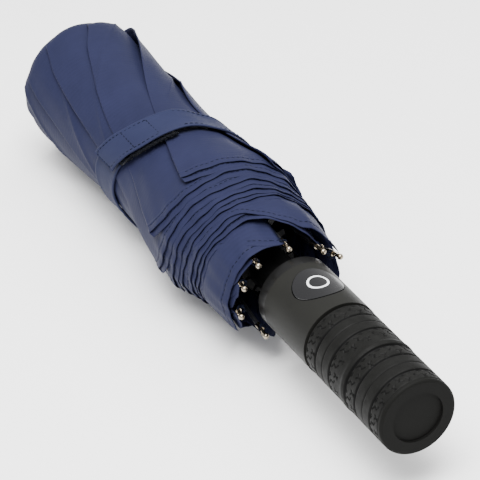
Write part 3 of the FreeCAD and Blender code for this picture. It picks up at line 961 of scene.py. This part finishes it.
    def tip_of(self, index: int) -> tuple[float, float, float]:
        """The rib tip where a pleat ends: the one three quarters of a turn past its corner.

        Args:
            index: which pleat.

        Returns:
            Angle, counted on past the pleat's corner, radius and place of the tip.
        """
        angle, radius, place = self.tips[(index + 4) % len(self.tips)]
        corner = self.pleats[index % len(self.pleats)].corner
        while angle < corner + 200:
            angle += 360
        return angle, radius, place

    def past(self, s: np.ndarray, span: tuple[float, float]) -> np.ndarray:
        """Goes from 0 to 1 along the outline between two rises above the mouth."""
        return ease(s, self.mouth + span[0], self.mouth + span[1])

    def fold_angle(self, index: int, s: np.ndarray) -> np.ndarray:
        """The angle of a pleat's fold.

        Args:
            index: which pleat; past the last it starts again, a turn further on.
            s: distance along the roll's outline.

        Returns:
            The fold's angle at each distance.
        """
        lap, index = divmod(index, len(self.pleats))
        pleat = self.pleats[index]
        corner = self.mouth + pleat.rise
        slope = (pleat.strap - pleat.corner) / (self.mouth + self.strap_rise - corner)
        line = Knots(
            (
                (self.mouth - 4, pleat.corner - 10 * slope),
                (corner - 22, pleat.corner - 9 * slope),
                (corner, pleat.corner),
                (self.mouth + self.strap_rise, pleat.strap),
                (self.mouth + self.crown_rise, pleat.crown),
                (self.path_end, pleat.crown + 24),
            )
        )
        return line.at(s) + 360 * lap

    def ply_points(self, index: int, ply: Ply, u: np.ndarray) -> tuple[np.ndarray, np.ndarray]:
        """Lays out one ply of a pleat.

        Args:
            index: which pleat.
            ply: which of its plies.
            u: for each column, 0 at the fold to 1 at the rib.

        Returns:
            Points, and their places on the flat cloth, by column and row.
        """
        pleat = self.pleats[index]
        share = (self.even_share * u + (1 - self.even_share) * u * u)[:, None]
        inner = ply is Ply.INNER
        valley = index - 1 if inner else index
        lap, valley = divmod(valley, len(self.pleats))
        tip_angle, tip_radius, tip_place = self.tip_of(valley)
        tip_angle += 360 * lap
        corner = self.mouth + pleat.rise
        hem_angle = pleat.corner + share * (tip_angle - pleat.corner)
        hem = self.hem_place(index, inner, hem_angle, tip_angle, tip_place)
        near = np.array(self.near_rows)
        far = np.linspace(0, 1, self.far_rows + 1)[1:]
        s_near = hem + near
        s_far = hem + near[-1] + (self.path_end - hem - near[-1]) * far
        s = np.concatenate([s_near, s_far], axis=1)
        d = s - hem
        shown = np.concatenate([near, near[-1] + (self.path_end - corner - near[-1]) * far])
        narrow = ease(shown, 14, 75)[None, :]
        fold = self.fold_angle(index, s)
        other = self.fold_angle(index - 1 if inner else index, s)
        widest = tip_angle - other
        width = widest + (self.hidden_width - widest) * narrow - (fold - other)
        theta = share * width
        angle = fold + theta
        gap = np.maximum(self.fold_angle(index + 1, s) - fold, 8)

        over = self.count_at.at(pleat.corner + theta) - index
        above = ease(s, corner, corner + 45)
        per_pleat = 360 / len(self.pleats)
        over = over + (theta / per_pleat - over) * above - self.undrop.at(np.maximum(corner - s, 0))
        softened = np.sqrt(over * over + 0.02)
        depth = self.pitch * ((1 - self.loose_share) * over + self.loose_share * softened)
        depth = depth + (0.5 * self.pitch if inner else 0.0)
        closing = 0.2 * self.pitch
        at_fold = np.exp(-theta / 0.7)
        depth = depth + at_fold * (-closing if inner else closing)
        at_rib = ease(share, 0.94, 1.0)
        depth = depth + at_rib * (closing if inner else -closing)

        angle_rad = np.radians(angle)
        lift = self.stand(pleat, s, corner, d, theta)
        lift = lift + self.ripples(index, s, angle_rad, theta, gap, d, inner)
        base = self.radius_at.at(s)
        delta = 0.4
        run_r = self.radius_at.at(s + delta) - self.radius_at.at(s - delta)
        run_y = self.place_at.at(s + delta) - self.place_at.at(s - delta)
        size = np.hypot(run_r, run_y)
        out_r, out_y = run_y / size, -run_r / size
        turned_in = self.past(s, self.rim_turn)
        tied = bell(s - self.mouth, 107, 24)
        thin = (1 - 0.75 * turned_in) * (1 - 0.5 * tied)
        radius = base + out_r * (lift - depth) * thin
        place = self.place_at.at(s) + out_y * (lift - depth) * thin
        near_rim = self.past(s, self.dip_span)
        droop = pleat.dip * np.exp(-np.maximum(theta, 0) / 22) * near_rim
        place = place - droop * np.clip(base / 31, 0, 1) ** 2
        to_tip = ease(share, 0.86, 1.0) * (1 - ease(d, 3, 26))
        radius = radius + (tip_radius + 0.9 - radius) * to_tip
        radius = np.maximum(radius, self.least_radius)
        across = CLOTH_RADIUS * np.radians(fold + theta)
        weave = np.stack([across, np.broadcast_to(s, theta.shape)], axis=-1)
        return around(radius, angle, place), weave

    def hem_place(
        self, index: int, inner: bool, angle: np.ndarray, tip_angle: float, tip_place: float
    ) -> np.ndarray:
        """Where a ply's hem runs: down in step with the others, then along the rib tips.

        Args:
            index: which pleat.
            inner: whether it's the inner ply.
            angle: the angles asked for.
            tip_angle: angle of the rib tip where the hem ends.
            tip_place: that tip's place along Y.

        Returns:
            The hem's distance along the outline at each angle.
        """
        pleat = self.pleats[index]
        over = self.count_at.at(angle) - index
        last = float(self.count_at.at(np.array(tip_angle))) - index
        under = 0.25 + 0.25 * ease(over, 0, 0.6) if inner else 0.0
        rise = self.usual_rise + (pleat.rise - self.usual_rise) * np.exp(-over / self.rise_fade)
        wound = self.mouth + rise - self.drop.at(over + under)
        along = tip_place + self.hem_over_tip + self.hem_step * (last - over)
        settle = self.inner_settle if inner else pleat.settle
        down = ease(over, last - settle - self.settle_span, last - settle)
        ripple = self.hem_wave * np.sin(angle / 9 + 2.1 * index + under)
        wave = ripple * ease(over, 0, 1) * (1 - down)
        return wound + wave + (np.minimum(along, wound) - wound) * down

    def stand(
        self, pleat: Pleat, s: np.ndarray, corner: float, d: np.ndarray, theta: np.ndarray
    ) -> np.ndarray:
        """How far a pleat stands off the roll along its fold.

        Args:
            pleat: the pleat.
            s: distance along the outline.
            corner: place of its hem corner.
            d: distance above its hem.
            theta: degrees past its fold.

        Returns:
            The lift at each point.
        """
        high = self.past(s, self.stand_span)
        tied = 1 - bell(s - self.mouth, self.tied_at, 20)
        fold_lift = (self.fold_stand + (pleat.stand - self.fold_stand) * high) * tied
        lift = fold_lift * np.exp(-theta / 5)
        below = 1 - ease(s, corner + 12, corner + 40)
        corner_lift = self.corner_stand * np.exp(-d / 9) * np.exp(-theta / 14) * below
        return lift + corner_lift

    def ripples(
        self,
        index: int,
        s: np.ndarray,
        angle: np.ndarray,
        theta: np.ndarray,
        gap: np.ndarray,
        d: np.ndarray,
        inner: bool,
    ) -> np.ndarray:
        """The cloth's soft swells, creases and fluttering hems.

        Args:
            index: which pleat.
            s: distance along the outline.
            angle: angle round the roll, in radians.
            theta: degrees past the fold.
            gap: degrees to the next fold.
            d: distance above the hem.
            inner: whether it's the inner ply.

        Returns:
            The lift at each point.
        """
        phase = 1.7 * index
        from_strap = s - (self.mouth + self.tied_at)
        shown = np.exp(-np.maximum(theta - gap, 0) / 6) * self.past(s, self.shown_span)
        bulge = self.swell * np.sin(math.pi * np.clip(theta / gap, 0, 1))
        swell = bulge * (1 - bell(from_strap, 0, 26))
        slow = self.slow[0] * np.sin(s / 17 + 2.3 * angle + phase)
        slow = slow + self.slow[1] * np.sin(s / 9.5 - 4 * angle + 2 * phase)
        slow = slow * (1 - self.past(s, self.slow_end))
        pull = self.pull * np.sin(theta / 3.1 + 1.3 * phase) * np.exp(-np.abs(from_strap) / 22)
        ridge = 1 - np.abs(np.sin(s / 33 - theta / 19 + phase))
        crease = self.crease * ridge**6 * self.past(s, self.crease_span)
        shared = self.flutter[0] * np.sin(9 * angle + s / 11)
        shared = shared + self.flutter[1] * np.sin(21 * angle - s / 7 + 1.0)
        own = self.flutter[2] * np.sin(14 * angle + 2.1 * phase + (1.5 if inner else 0.0))
        flutter = shared * (1 - self.past(s, self.mouth_span)) + own * np.exp(-d / 10)
        turned = self.hem_fold * (1 - ease(d, self.hem_turn - 0.2, self.hem_turn + 0.2))
        sewn = -self.hem_pull * bell(d, self.stitch_in, 0.35)
        swell, slow, pull, crease = (part * shown for part in (swell, slow, pull, crease))
        return swell + slow + pull + crease + flutter + turned + sewn

    def sheet_points(self) -> tuple[np.ndarray, np.ndarray]:
        """Lays out the whole sheet, ply after ply round the roll.

        Returns:
            Points, and their places on the flat cloth, by column and row.
        """
        outer_u = np.linspace(1, 0, self.outer_columns)
        inner_u = np.linspace(0, 1, self.inner_columns)[1:-1]
        blocks = []
        for index in reversed(range(len(self.pleats))):
            blocks.append(self.ply_points(index, Ply.OUTER, outer_u))
            blocks.append(self.ply_points(index, Ply.INNER, inner_u))
        points = np.concatenate([block[0] for block in blocks])
        weave = np.concatenate([block[1] for block in blocks])
        return points, weave

    def hem_stitches(self, points: np.ndarray) -> StitchRow:
        """Sews the turned hem of both plies of every pleat.

        Args:
            points: the sheet's points, by column and row.

        Returns:
            The stitches.
        """
        row = self.near_rows.index(self.stitch_in)
        stitches = StitchRow(length=1.7, gap=0.6, thick=0.2)
        count = self.outer_columns + self.inner_columns - 2
        for index in range(len(self.pleats)):
            first = index * count
            outer = slice(first, first + self.outer_columns - 1)
            inner = slice(first + self.outer_columns, first + count)
            for span in (outer, inner):
                path = points[span, row]
                out = outward(path)
                stitches.sew(path + out * self.thick / 2, out)
        return stitches


# ---------------------------------------------------------------- closing strap
@dataclass
class ClosingStrap:
    """The strap that ties the roll: a folded band, its tab, and hook-and-loop under the tab."""

    centre: tuple = (
        (-100.0, 117.5),
        (-73.0, 114.5),
        (-56.0, 109.3),
        (-36.0, 102.0),
        (-12.0, 97.2),
        (6.0, 95.4),
        (31.0, 93.8),
        (70.0, 93.5),
        (120.0, 96.0),
        (170.0, 101.0),
        (215.0, 108.5),
        (260.0, 117.5),
        (287.0, 114.5),
        (304.0, 109.3),
        (324.0, 102.0),
        (348.0, 97.2),
    )
    """Angle, and rise of the band's middle above the roll's mouth."""
    width: float = 18.6
    thick: float = 0.95
    clear: float = 0.4
    lap: float = 2.5
    """How much further out the tab lies than the band under it."""
    tab_end: float = -72.0
    band_join: float = 118.0
    band_end: float = 344.0
    hinge_half: float = 6.0
    tape_width: float = 15.0
    tape_thick: float = 0.7
    box: tuple = (-44.0, -23.0)
    """Angles of the sewn box's ends."""
    profile: tuple = (
        (-1, 0.25),
        (-0.985, 0.42),
        (-0.93, 0.5),
        (-0.82, 0.5),
        (-0.79, 0.4),
        (-0.4, 0.42),
        (0, 0.44),
        (0.4, 0.42),
        (0.79, 0.4),
        (0.82, 0.5),
        (0.93, 0.5),
        (0.985, 0.42),
        (1, 0.25),
    )
    """Across the band, as shares of its half width and its thickness: the folds stand proud."""
    join_lap: float = 6.0
    """Degrees that the band runs on under the tab's start."""
    climb: tuple = (26.0, -6.0)
    """Angles between which the tab climbs over the band."""
    loop_ends: tuple = (-64.0, -11.0)
    hook_ends: tuple = (-66.0, -26.0)
    """Angles of each tape's ends."""
    loop_lift: float = 1.0
    hook_lift: float = 1.85
    loop_shift: float = -3.4
    """How far the loop tape's middle lies from the band's, towards the mouth."""
    tufts: int = 620
    sewn_in: float = 2.0

    def build(self, wardrobe: Wardrobe, canopy: RolledCanopy) -> None:
        """Builds the band, the tab, both tapes, the pile and the sewing.

        Args:
            wardrobe: the finishes.
            canopy: the roll that the strap goes round.
        """
        self.canopy = canopy
        self.line = Knots(self.centre)
        hinge = next(j for j in frame["joints"] if j["child"] == "strap_end")
        pivot = Vector(hinge["pos_m"])
        self.hinge_angle = math.degrees(math.atan2(pivot.x, pivot.z))
        first = self.band_join - self.join_lap
        band = self.ribbon("strap_band", first, self.band_end, self.band_lift, wardrobe.webbing)
        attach(band, "canopy")
        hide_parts("closure_strap")
        tab = self.ribbon(
            "strap_tab_cloth", self.band_join, self.tab_end, self.tab_lift, wardrobe.webbing
        )
        start = self.on_strap(self.hinge_angle + self.hinge_half, 0, self.lap + self.clear)
        end = self.on_strap(self.hinge_angle - self.hinge_half, 0, self.lap + self.clear)
        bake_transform(tab)
        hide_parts("strap_tab")
        self.tapes(wardrobe)
        self.sewing(wardrobe)

    def flat_size(self, piece: bpy.types.Object) -> tuple[float, float]:
        """Width and length, in metres, of the band that a ribbon piece was cut from."""
        area = sum(face.area for face in piece.data.polygons) / 2
        return self.width * MM, area / (self.width * MM)

    def band_lift(self, angle: float) -> float:
        """Height of the band's underside above the roll's outline."""
        return self.clear - 0.25 * float(ease(angle, self.band_join + self.join_lap, self.band_join - 2))

    def tab_lift(self, angle: float) -> float:
        """Height of the tab's underside: it climbs over the band's own start."""
        climb = float(ease(angle, *self.climb)) if angle < self.climb[0] else 0.0
        lap_joint = (self.thick + 0.1) * float(ease(angle, self.band_join - 22, self.band_join - 10))
        return self.clear + self.lap * climb + lap_joint

    def on_strap(self, angle: float, across: float, lift: float) -> np.ndarray:
        """A point on the strap.

        Args:
            angle: angle round the roll.
            across: distance from the strap's middle line, towards the crown.
            lift: height above the roll's outline.

        Returns:
            The point.
        """
        wrapped = angle if angle < self.centre[-1][0] else angle - 360
        place = self.canopy.mouth + float(self.line.at(wrapped)) + across
        mean = np.mean([float(self.canopy.radius_at.at(place + off)) for off in (-4, 0, 4)])
        return around(mean + lift, angle, place)

    def ribbon(
        self,
        name: str,
        first: float,
        last: float,
        lift: Callable[[float], float],
        material: bpy.types.Material,
    ) -> bpy.types.Object:
        """Makes a closed band with folded edges.

        Args:
            name: the piece's name.
            first: angle where it starts.
            last: angle where it ends.
            lift: gives the height of its underside at an angle.
            material: what it's made of.

        Returns:
            The band.
        """
        half = self.width / 2
        section = [(share * half, thick * self.thick) for share, thick in self.profile]
        section += [(a, -h) for a, h in reversed(section)]
        count = max(24, int(abs(last - first) / 1.6))
        angles = np.linspace(first, last, count)
        rounded = {0: 0.55, 1: 0.95}  # how thick the ends' first two rings are
        points = []
        weave = []
        for i, angle in enumerate(angles):
            shrink = rounded.get(min(i, count - 1 - i), 1.0)
            for a, h in section:
                wave = 0.12 * math.sin(angle / 6.3 + a / 5)
                mid = lift(angle) + self.thick / 2 + wave
                points.append(self.on_strap(angle, a, mid + h * shrink))
                weave.append((CLOTH_RADIUS * math.radians(angle), a))
        around_section = len(section)
        faces = []
        for i in range(count - 1):
            for j in range(around_section):
                k = (j + 1) % around_section
                a = i * around_section
                faces.append([a + j, a + k, a + around_section + k, a + around_section + j])
        faces.append(list(range(around_section)))
        last_ring = (count - 1) * around_section
        faces.append([last_ring + j for j in reversed(range(around_section))])
        if last < first:
            faces = [face[::-1] for face in faces]
        return mesh_piece(name, np.array(points), faces, material, np.array(weave))

    def strip(self, shift: float) -> "ClosingStrap":
        """A band as narrow and thin as the tapes, its middle moved along Y by the shift."""
        narrow = replace(self, width=self.tape_width, thick=self.tape_thick)
        narrow.canopy = self.canopy
        narrow.line = Knots(tuple((angle, rise + shift) for angle, rise in self.centre))
        return narrow

    def tapes(self, wardrobe: Wardrobe) -> None:
        """Builds the loop tape on the band, the hook tape under the tab, and the loose pile.

        Args:
            wardrobe: the finishes.
        """
        lower, middle = self.strip(self.loop_shift), self.strip(0.0)
        over_band = self.clear + self.loop_lift
        loop = lower.ribbon("loop_tape", *self.loop_ends, lambda angle: over_band, wardrobe.pile)
        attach(loop, "canopy")
        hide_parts("loop_patch")
        tufts = lower.pile(wardrobe)
        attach(tufts, "canopy")
        under_tab = self.clear + self.hook_lift
        hook = middle.ribbon("hook_tape", *self.hook_ends, lambda angle: under_tab, wardrobe.pile)
        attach(hook, "strap_end")
        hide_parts("hook_patch")
        for piece in (loop, hook):
            lower.flat_size(piece)

    def pile(self, wardrobe: Wardrobe) -> bpy.types.Object:
        """Makes the loops of pile that stick out along the loop tape's lower edge.

        Args:
            wardrobe: the finishes.

        Returns:
            The tufts.
        """
        dice = np.random.default_rng(7)
        loops = StitchRow(thick=0.12, sides=4)
        for _ in range(self.tufts):
            angle = dice.uniform(-58, -12)
            across = -self.width / 2 + dice.normal(0.35, 0.5)
            height = self.clear + 1.3 + dice.uniform(-0.3, 0.7)
            turn = dice.uniform(-1.6, 1.6)
            length = dice.uniform(0.5, 1.3)
            foot = self.on_strap(angle, across, height)
            top = self.on_strap(angle + turn, across - length * dice.uniform(0.1, 1.0), height + 0.3)
            line = np.linspace(foot, top, 5)
            up = np.repeat(outward(foot)[None], 5, axis=0)
            bow = np.array([0, 0.7, 1, 0.7, 0])[:, None] * 0.35
            loops.stitch(line + up * bow, up)
        return loops.finish("loop_pile", wardrobe.pile)

    def sewing(self, wardrobe: Wardrobe) -> None:
        """Sews the tab's edges and the box that holds its hook tape.

        Args:
            wardrobe: the finishes.
        """
        edge = self.width / 2 - self.sewn_in
        stitches = StitchRow(length=1.7, gap=0.7, thick=0.17)
        fixed = StitchRow(length=1.7, gap=0.7, thick=0.17)
        top = self.thick * 0.92

        def line(first: float, last: float, low: float, high: float) -> tuple[np.ndarray, np.ndarray]:
            """A straight run on the tab's outer face, and the way out of the cloth along it."""
            steps = np.linspace(0, 1, 40)
            angles = first + (last - first) * steps
            across = low + (high - low) * steps
            places = zip(angles, across)
            path = np.array([self.on_strap(a, w, self.tab_lift(a) + top) for a, w in places])
            return path, outward(path)

        moving = self.hinge_angle - self.hinge_half - 2
        for across in (-edge, edge):
            stitches.sew(*line(moving, self.tab_end + 1.5, across, across))
            fixed.sew(*line(self.band_join - 26, self.hinge_angle + self.hinge_half + 2, across, across))
        far, near = self.box
        stitches.sew(*line(near, near, -edge, edge))
        stitches.sew(*line(far, far, -edge, edge))
        stitches.sew(*line(self.tab_end + 1.2, self.tab_end + 1.2, -edge, edge))
        tab_sewing = stitches.finish("tab_stitching", wardrobe.thread)
        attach(tab_sewing, "strap_end")
        band_sewing = fixed.finish("band_stitching", wardrobe.thread)
        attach(band_sewing, "canopy")


# ---------------------------------------------------------------- rib tips
@dataclass
class RibTips:
    """What ties the cloth to the tips: a few turns of thread and a small eyelet behind each."""

    turns: int = 4
    turn_gap: float = 0.55
    wire: float = 0.3
    coil_radius: float = 1.45
    behind: float = 4.2
    eyelet_radius: float = 0.95
    eyelet_behind: float = 2.6
    eyelet_out: float = 0.9
    rib_width: float = 5.5
    neck_width: float = 2.5
    """From the runner out to the ribs, and on to the tips' necks."""

    def build(self, wardrobe: Wardrobe, canopy: RolledCanopy) -> None:
        """Builds the ties and eyelets.

        Args:
            wardrobe: the finishes.
            canopy: the roll whose tips they are.
        """
        high = span_of("rib_tips")[1]
        inner = radius_of("runner") + self.rib_width
        ties = StitchRow(thick=self.wire, sides=6)
        eyelets = StitchRow(thick=0.24, sides=6)
        for angle, radius, place in canopy.tips:
            ball = around(radius, angle, place)
            neck = around(min(radius, inner + self.neck_width), angle, high)
            along = (neck - ball) / np.linalg.norm(neck - ball)
            out = outward(ball)
            out = out - along * out.dot(along)
            out = out / np.linalg.norm(out)
            side = np.cross(along, out)
            middle = ball + along * self.behind
            self.wrap(ties, middle, along, out, side)
            eye = ball + along * self.eyelet_behind + out * self.eyelet_out
            self.ring(eyelets, eye, along, out, self.eyelet_radius)
        for stitches, name, material, slot in (
            (ties, "tip_ties", wardrobe.thread, "canopy_fabric"),
            (eyelets, "tip_eyelets", wardrobe.nickel, "tip_steel"),
        ):
            piece = stitches.finish(name, material)
            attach(piece, "canopy")

    def wrap(
        self, ties: StitchRow, middle: np.ndarray, along: np.ndarray, out: np.ndarray, side: np.ndarray
    ) -> None:
        """Winds thread round the tip.

        Args:
            ties: where the thread goes.
            middle: the first turn's middle.
            along: the tip's direction.
            out: a direction across the tip.
            side: the other direction across it.
        """
        for turn in range(self.turns):
            swell = self.coil_radius + 0.25 * math.sin(turn * 1.9)
            for quarter in range(4):
                steps = np.linspace(0, 1, 5)
                bend = TAU * (quarter + steps) / 4
                lift = (turn + (quarter + steps) / 4) * self.turn_gap
                ring = np.cos(bend)[:, None] * out + np.sin(bend)[:, None] * side
                line = middle + lift[:, None] * along + ring * swell
                ties.stitch(line, ring)

    def ring(
        self, rings: StitchRow, middle: np.ndarray, along: np.ndarray, out: np.ndarray, radius: float
    ) -> None:
        """Adds a small wire eye that stands on the tip.

        Args:
            rings: where the eye goes.
            middle: its middle.
            along: the tip's direction.
            out: the direction it stands in.
            radius: its radius.
        """
        for quarter in range(4):
            bend = TAU * (quarter + np.linspace(0, 1, 5)) / 4
            ring = np.cos(bend)[:, None] * out + np.sin(bend)[:, None] * along
            rings.stitch(middle + ring * radius, ring)


# ---------------------------------------------------------------- handle
class Band(Enum):
    """What a stretch of the grip's surface carries."""

    TREAD = "tread"
    PLAIN = "plain"


@dataclass
class Handle:
    """The handle: a rubber grip with tread bands, its shell, collar, button and cap."""

    bands: tuple = (
        (0.0, 6.4, Band.TREAD),
        (6.4, 18.0, Band.PLAIN),
        (18.0, 25.7, Band.TREAD),
        (25.7, 31.0, Band.PLAIN),
        (31.0, 38.6, Band.TREAD),
        (38.6, 49.6, Band.PLAIN),
        (49.6, 57.2, Band.TREAD),
    )
    """Start and end of each band from the grip's outer end."""
    grooves: tuple = (
        (6.4, 0.75, 0.9),
        (12.2, 0.35, 0.3),
        (18.0, 0.75, 0.9),
        (25.7, 1.2, 1.1),
        (38.6, 0.75, 0.9),
        (44.2, 0.35, 0.3),
        (49.6, 0.75, 0.9),
    )
    """Place, width and depth of each groove turned round the grip."""
    sipes: tuple = (
        (0.05, 0.92, 0.30, 0.72),
        (0.30, 0.72, 0.17, 0.50),
        (0.17, 0.50, 0.42, 0.30),
        (0.48, 0.95, 0.62, 0.82),
        (0.58, 1.00, 0.72, 0.87),
        (0.62, 0.42, 0.76, 0.24),
        (0.76, 0.24, 0.88, 0.40),
        (0.66, 0.02, 0.72, 0.14),
        (0.72, 0.14, 0.80, 0.02),
    )
    """The fine straight cuts of one tread block: shares round it and along it, at both ends."""
    sipe_inset: float = 0.7
    wall: float = 2.6
    inset: float = 0.35
    """How far the sleeve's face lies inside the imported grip, which leaves room for its lip."""
    edge: float = 0.7
    """Radius of the rounding at the sleeve's two ends."""
    lip_place: float = 28.2
    lip_height: float = 0.3
    sipe_depth: float = 0.45
    sipe_width: float = 0.34
    blocks: int = 15
    rows: int = 190
    columns: int = 330

    def build(self, wardrobe: Wardrobe) -> None:
        """Builds the grip and dresses the rest of the handle.

        Args:
            wardrobe: the finishes.
        """
        grip = self.grip(wardrobe.grip)
        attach(grip, "handle")
        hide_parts("rubber_grip")
        dress(wardrobe.shell, "handle_shell")
        dress(wardrobe.collar, "collar_ring")
        dress(wardrobe.gloss, "push_button")
        dress(wardrobe.cap, "end_cap")
        dress(wardrobe.pale, "button_mark")
        dress(wardrobe.inner, "tube_socket", "button_cradle", "inner_tube_stop")
        dress(wardrobe.spring, "opening_spring", "button_springs", "socket_pin", "latch_plate")
        self.button_coils(wardrobe.spring)

    def button_coils(self, material: bpy.types.Material) -> None:
        """Makes the two coils under the button, as one piece with a mesh of its own.

        Args:
            material: the wire's finish.
        """
        node = frame["nodes"]["button_springs"]
        points = np.array([node.matrix_world @ v.co for v in node.data.vertices]) / MM
        faces = [list(face.vertices) for face in node.data.polygons]
        coils = mesh_piece("button_coils", points, faces, material)
        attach(coils, "handle")
        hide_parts("button_springs")
        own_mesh(coils)

    def relief(self, place: np.ndarray, turn: np.ndarray) -> np.ndarray:
        """Depth of the grip's surface pattern.

        Args:
            place: distance from the grip's outer end.
            turn: angle, in degrees.

        Returns:
            The depth at each point.
        """
        depth = np.zeros(np.broadcast_shapes(place.shape, turn.shape))
        for middle, width, deep in self.grooves:
            across = np.abs(place - middle) / (width / 2 + 0.15)
            depth = np.maximum(depth, deep * (1 - ease(across, 0.55, 1.25)))
        block = 360 / self.blocks
        radius = radius_of("rubber_grip")
        for start, end, kind in self.bands:
            if kind is Band.PLAIN:
                continue
            inside = ease(place, start + 0.2, start + 0.5) * (1 - ease(place, end - 0.5, end - 0.2))
            share = (turn % block) / block
            arc = block * math.radians(1) * radius
            low, high = start + self.sipe_inset, end - self.sipe_inset
            for a, p, b, q in self.sipes:
                ax, bx = a * arc, b * arc
                p, q = low + (high - low) * p, low + (high - low) * q
                x, y = share * arc, place
                dx, dy = bx - ax, q - p
                t = np.clip(((x - ax) * dx + (y - p) * dy) / (dx * dx + dy * dy), 0, 1)
                far = np.hypot(x - ax - t * dx, y - p - t * dy)
                cut = self.sipe_depth * (1 - ease(far, self.sipe_width * 0.3, self.sipe_width))
                depth = np.maximum(depth, cut * inside)
        return depth

    def grip(self, material: bpy.types.Material) -> bpy.types.Object:
        """Makes the grip as a closed sleeve with its pattern cut in.

        Args:
            material: its rubber.

        Returns:
            The grip.
        """
        first, last = span_of("rubber_grip")
        radius = radius_of("rubber_grip") - self.inset
        edge = self.edge
        place = np.linspace(edge, last - first - edge, self.rows)
        turn = np.arange(self.columns) * 360 / self.columns
        depth = self.relief(place[None, :], turn[:, None])
        lip = self.lip_height * bell(place, self.lip_place, 1.1)
        outer = radius - depth + lip[None, :]
        corner = np.linspace(0, math.pi / 2, 5)[:-1]
        bore = np.full((self.columns, 1), radius - self.wall)
        start_r = (radius - edge) + edge * np.sin(corner)
        start_p = edge - edge * np.cos(corner)
        end_p = last - first - start_p[::-1]
        ones = np.ones((self.columns, 1))
        radii = np.concatenate([bore, ones * start_r, outer, ones * start_r[::-1], bore], axis=1)
        places = np.concatenate([[0], start_p, place, end_p, [last - first]])
        points = around(radii, turn[:, None], first + places[None, :])
        rows = points.shape[1]
        faces = grid_faces(self.columns, rows, ring=True)
        bottom = np.arange(self.columns) * rows
        following = np.roll(bottom, -1)
        lining = np.stack([bottom, bottom + rows - 1, following + rows - 1, following], axis=-1)
        sleeve = mesh_piece("grip_sleeve", points, np.concatenate([faces, lining]), material)
        # The cut attribute holds each point's groove depth as a share; the rubber paints shade into the
        # grooves by it.
        cut = np.zeros((self.columns, rows))
        first_row = 1 + len(corner)
        cut[:, first_row : first_row + self.rows] = np.clip(depth / self.sipe_depth, 0, 1)
        sleeve.data.attributes.new("cut", "FLOAT", "POINT").data.foreach_set("value", cut.ravel())
        return sleeve


# ---------------------------------------------------------------- shaft and ribs
class ShaftAndRibs:
    """The telescoping shaft, crown, runner and folded ribs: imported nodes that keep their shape."""

    def build(self, wardrobe: Wardrobe) -> None:
        """Dresses the nodes.

        Args:
            wardrobe: the finishes.
        """
        dress(wardrobe.drawn, "inner_tube", "middle_tube", "outer_tube")
        dress(wardrobe.inner, "middle_bush", "outer_bush", "crown_notch", "runner")
        dress(wardrobe.collar, "crown_cap")
        dress(wardrobe.spring, "hinge_wires")
        dress(wardrobe.painted, "stretchers", "rib_joints")
        dress(wardrobe.painted, *numbered("inner_rib_"), *numbered("middle_rib_"), *numbered("outer_rib_"))
        dress(wardrobe.nickel, "rib_tips")


# ---------------------------------------------------------------- studio
@dataclass
class Studio:
    """Pale paper, soft lights and the camera."""

    floor_half: float = 3000.0
    camera_place: tuple = (-390.56, -666.60, 567.31)
    camera_ahead: tuple = (0.36582, 0.76304, -0.53287)
    camera_up: tuple = (0.26979, 0.46102, 0.84538)
    lens: float = 188.7
    softboxes: tuple = (
        ("key_softbox", (-230, -100, 1050), 42, 800),
        ("fill_softbox", (450, 300, 950), 9, 900),
    )
    """Name, place, watts and side of each."""
    aim: tuple = (0, 160, 0)
    """The umbrella's middle, which the softboxes face."""

    def build(self, wardrobe: Wardrobe) -> None:
        """Lays the paper, hangs the lights and sets up the camera.

        Args:
            wardrobe: the finishes.
        """
        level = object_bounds()[0][2] / MM
        half = self.floor_half
        signs = ((-1, -1), (1, -1), (1, 1), (-1, 1))
        corners = np.array([[x * half, y * half, level] for x, y in signs])
        floor = mesh_piece("studio_floor", corners, [[0, 1, 2, 3]], wardrobe.paper)
        floor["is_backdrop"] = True
        for softbox in self.softboxes:
            self.light(*softbox)
        world = bpy.data.worlds.new("studio")
        world.use_nodes = True
        world.node_tree.nodes.clear()
        glow = add_node(world.node_tree, "Background", {"Color": (1, 1, 1, 1), "Strength": 1.0})
        add_node(world.node_tree, "OutputWorld", {"Surface": glow.outputs["Background"]})
        bpy.context.scene.world = world
        self.camera()

    def light(self, name: str, place: tuple, watts: float, size: float) -> None:
        """Hangs a square softbox.

        Args:
            name: its name.
            place: where it hangs.
            watts: its power.
            size: length of its side.
        """
        lamp = bpy.data.lights.new(name, "AREA")
        lamp.energy = watts
        lamp.size = size * MM
        holder = bpy.data.objects.new(name, lamp)
        middle = Vector(self.aim) * MM
        where = Vector(place) * MM
        holder.location = where
        holder.rotation_euler = (middle - where).to_track_quat("-Z", "Y").to_euler()
        bpy.context.scene.collection.objects.link(holder)
        log.info("hung %s", name)

    def camera(self) -> None:
        """Places the camera that sees the umbrella from the cap's end, from above."""
        ahead = Vector(self.camera_ahead).normalized()
        right = ahead.cross(Vector(self.camera_up)).normalized()
        up = right.cross(ahead)
        view = Matrix((right, up, -ahead)).transposed().to_4x4()
        view.translation = Vector(self.camera_place) * MM
        data = bpy.data.cameras.new("camera")
        data.lens = self.lens
        data.sensor_width = 36
        data.clip_start = 0.01
        data.clip_end = 20
        holder = bpy.data.objects.new("camera", data)
        holder.matrix_world = view
        bpy.context.scene.collection.objects.link(holder)
        bpy.context.scene.camera = holder


def main() -> None:
    """Builds the umbrella's looks in order."""
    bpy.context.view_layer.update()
    wardrobe = Wardrobe()
    canopy = RolledCanopy()
    canopy.build(wardrobe)
    ClosingStrap().build(wardrobe, canopy)
    RibTips().build(wardrobe, canopy)
    Handle().build(wardrobe)
    ShaftAndRibs().build(wardrobe)
    Studio().build(wardrobe)


if __name__ == "__main__":
    main()
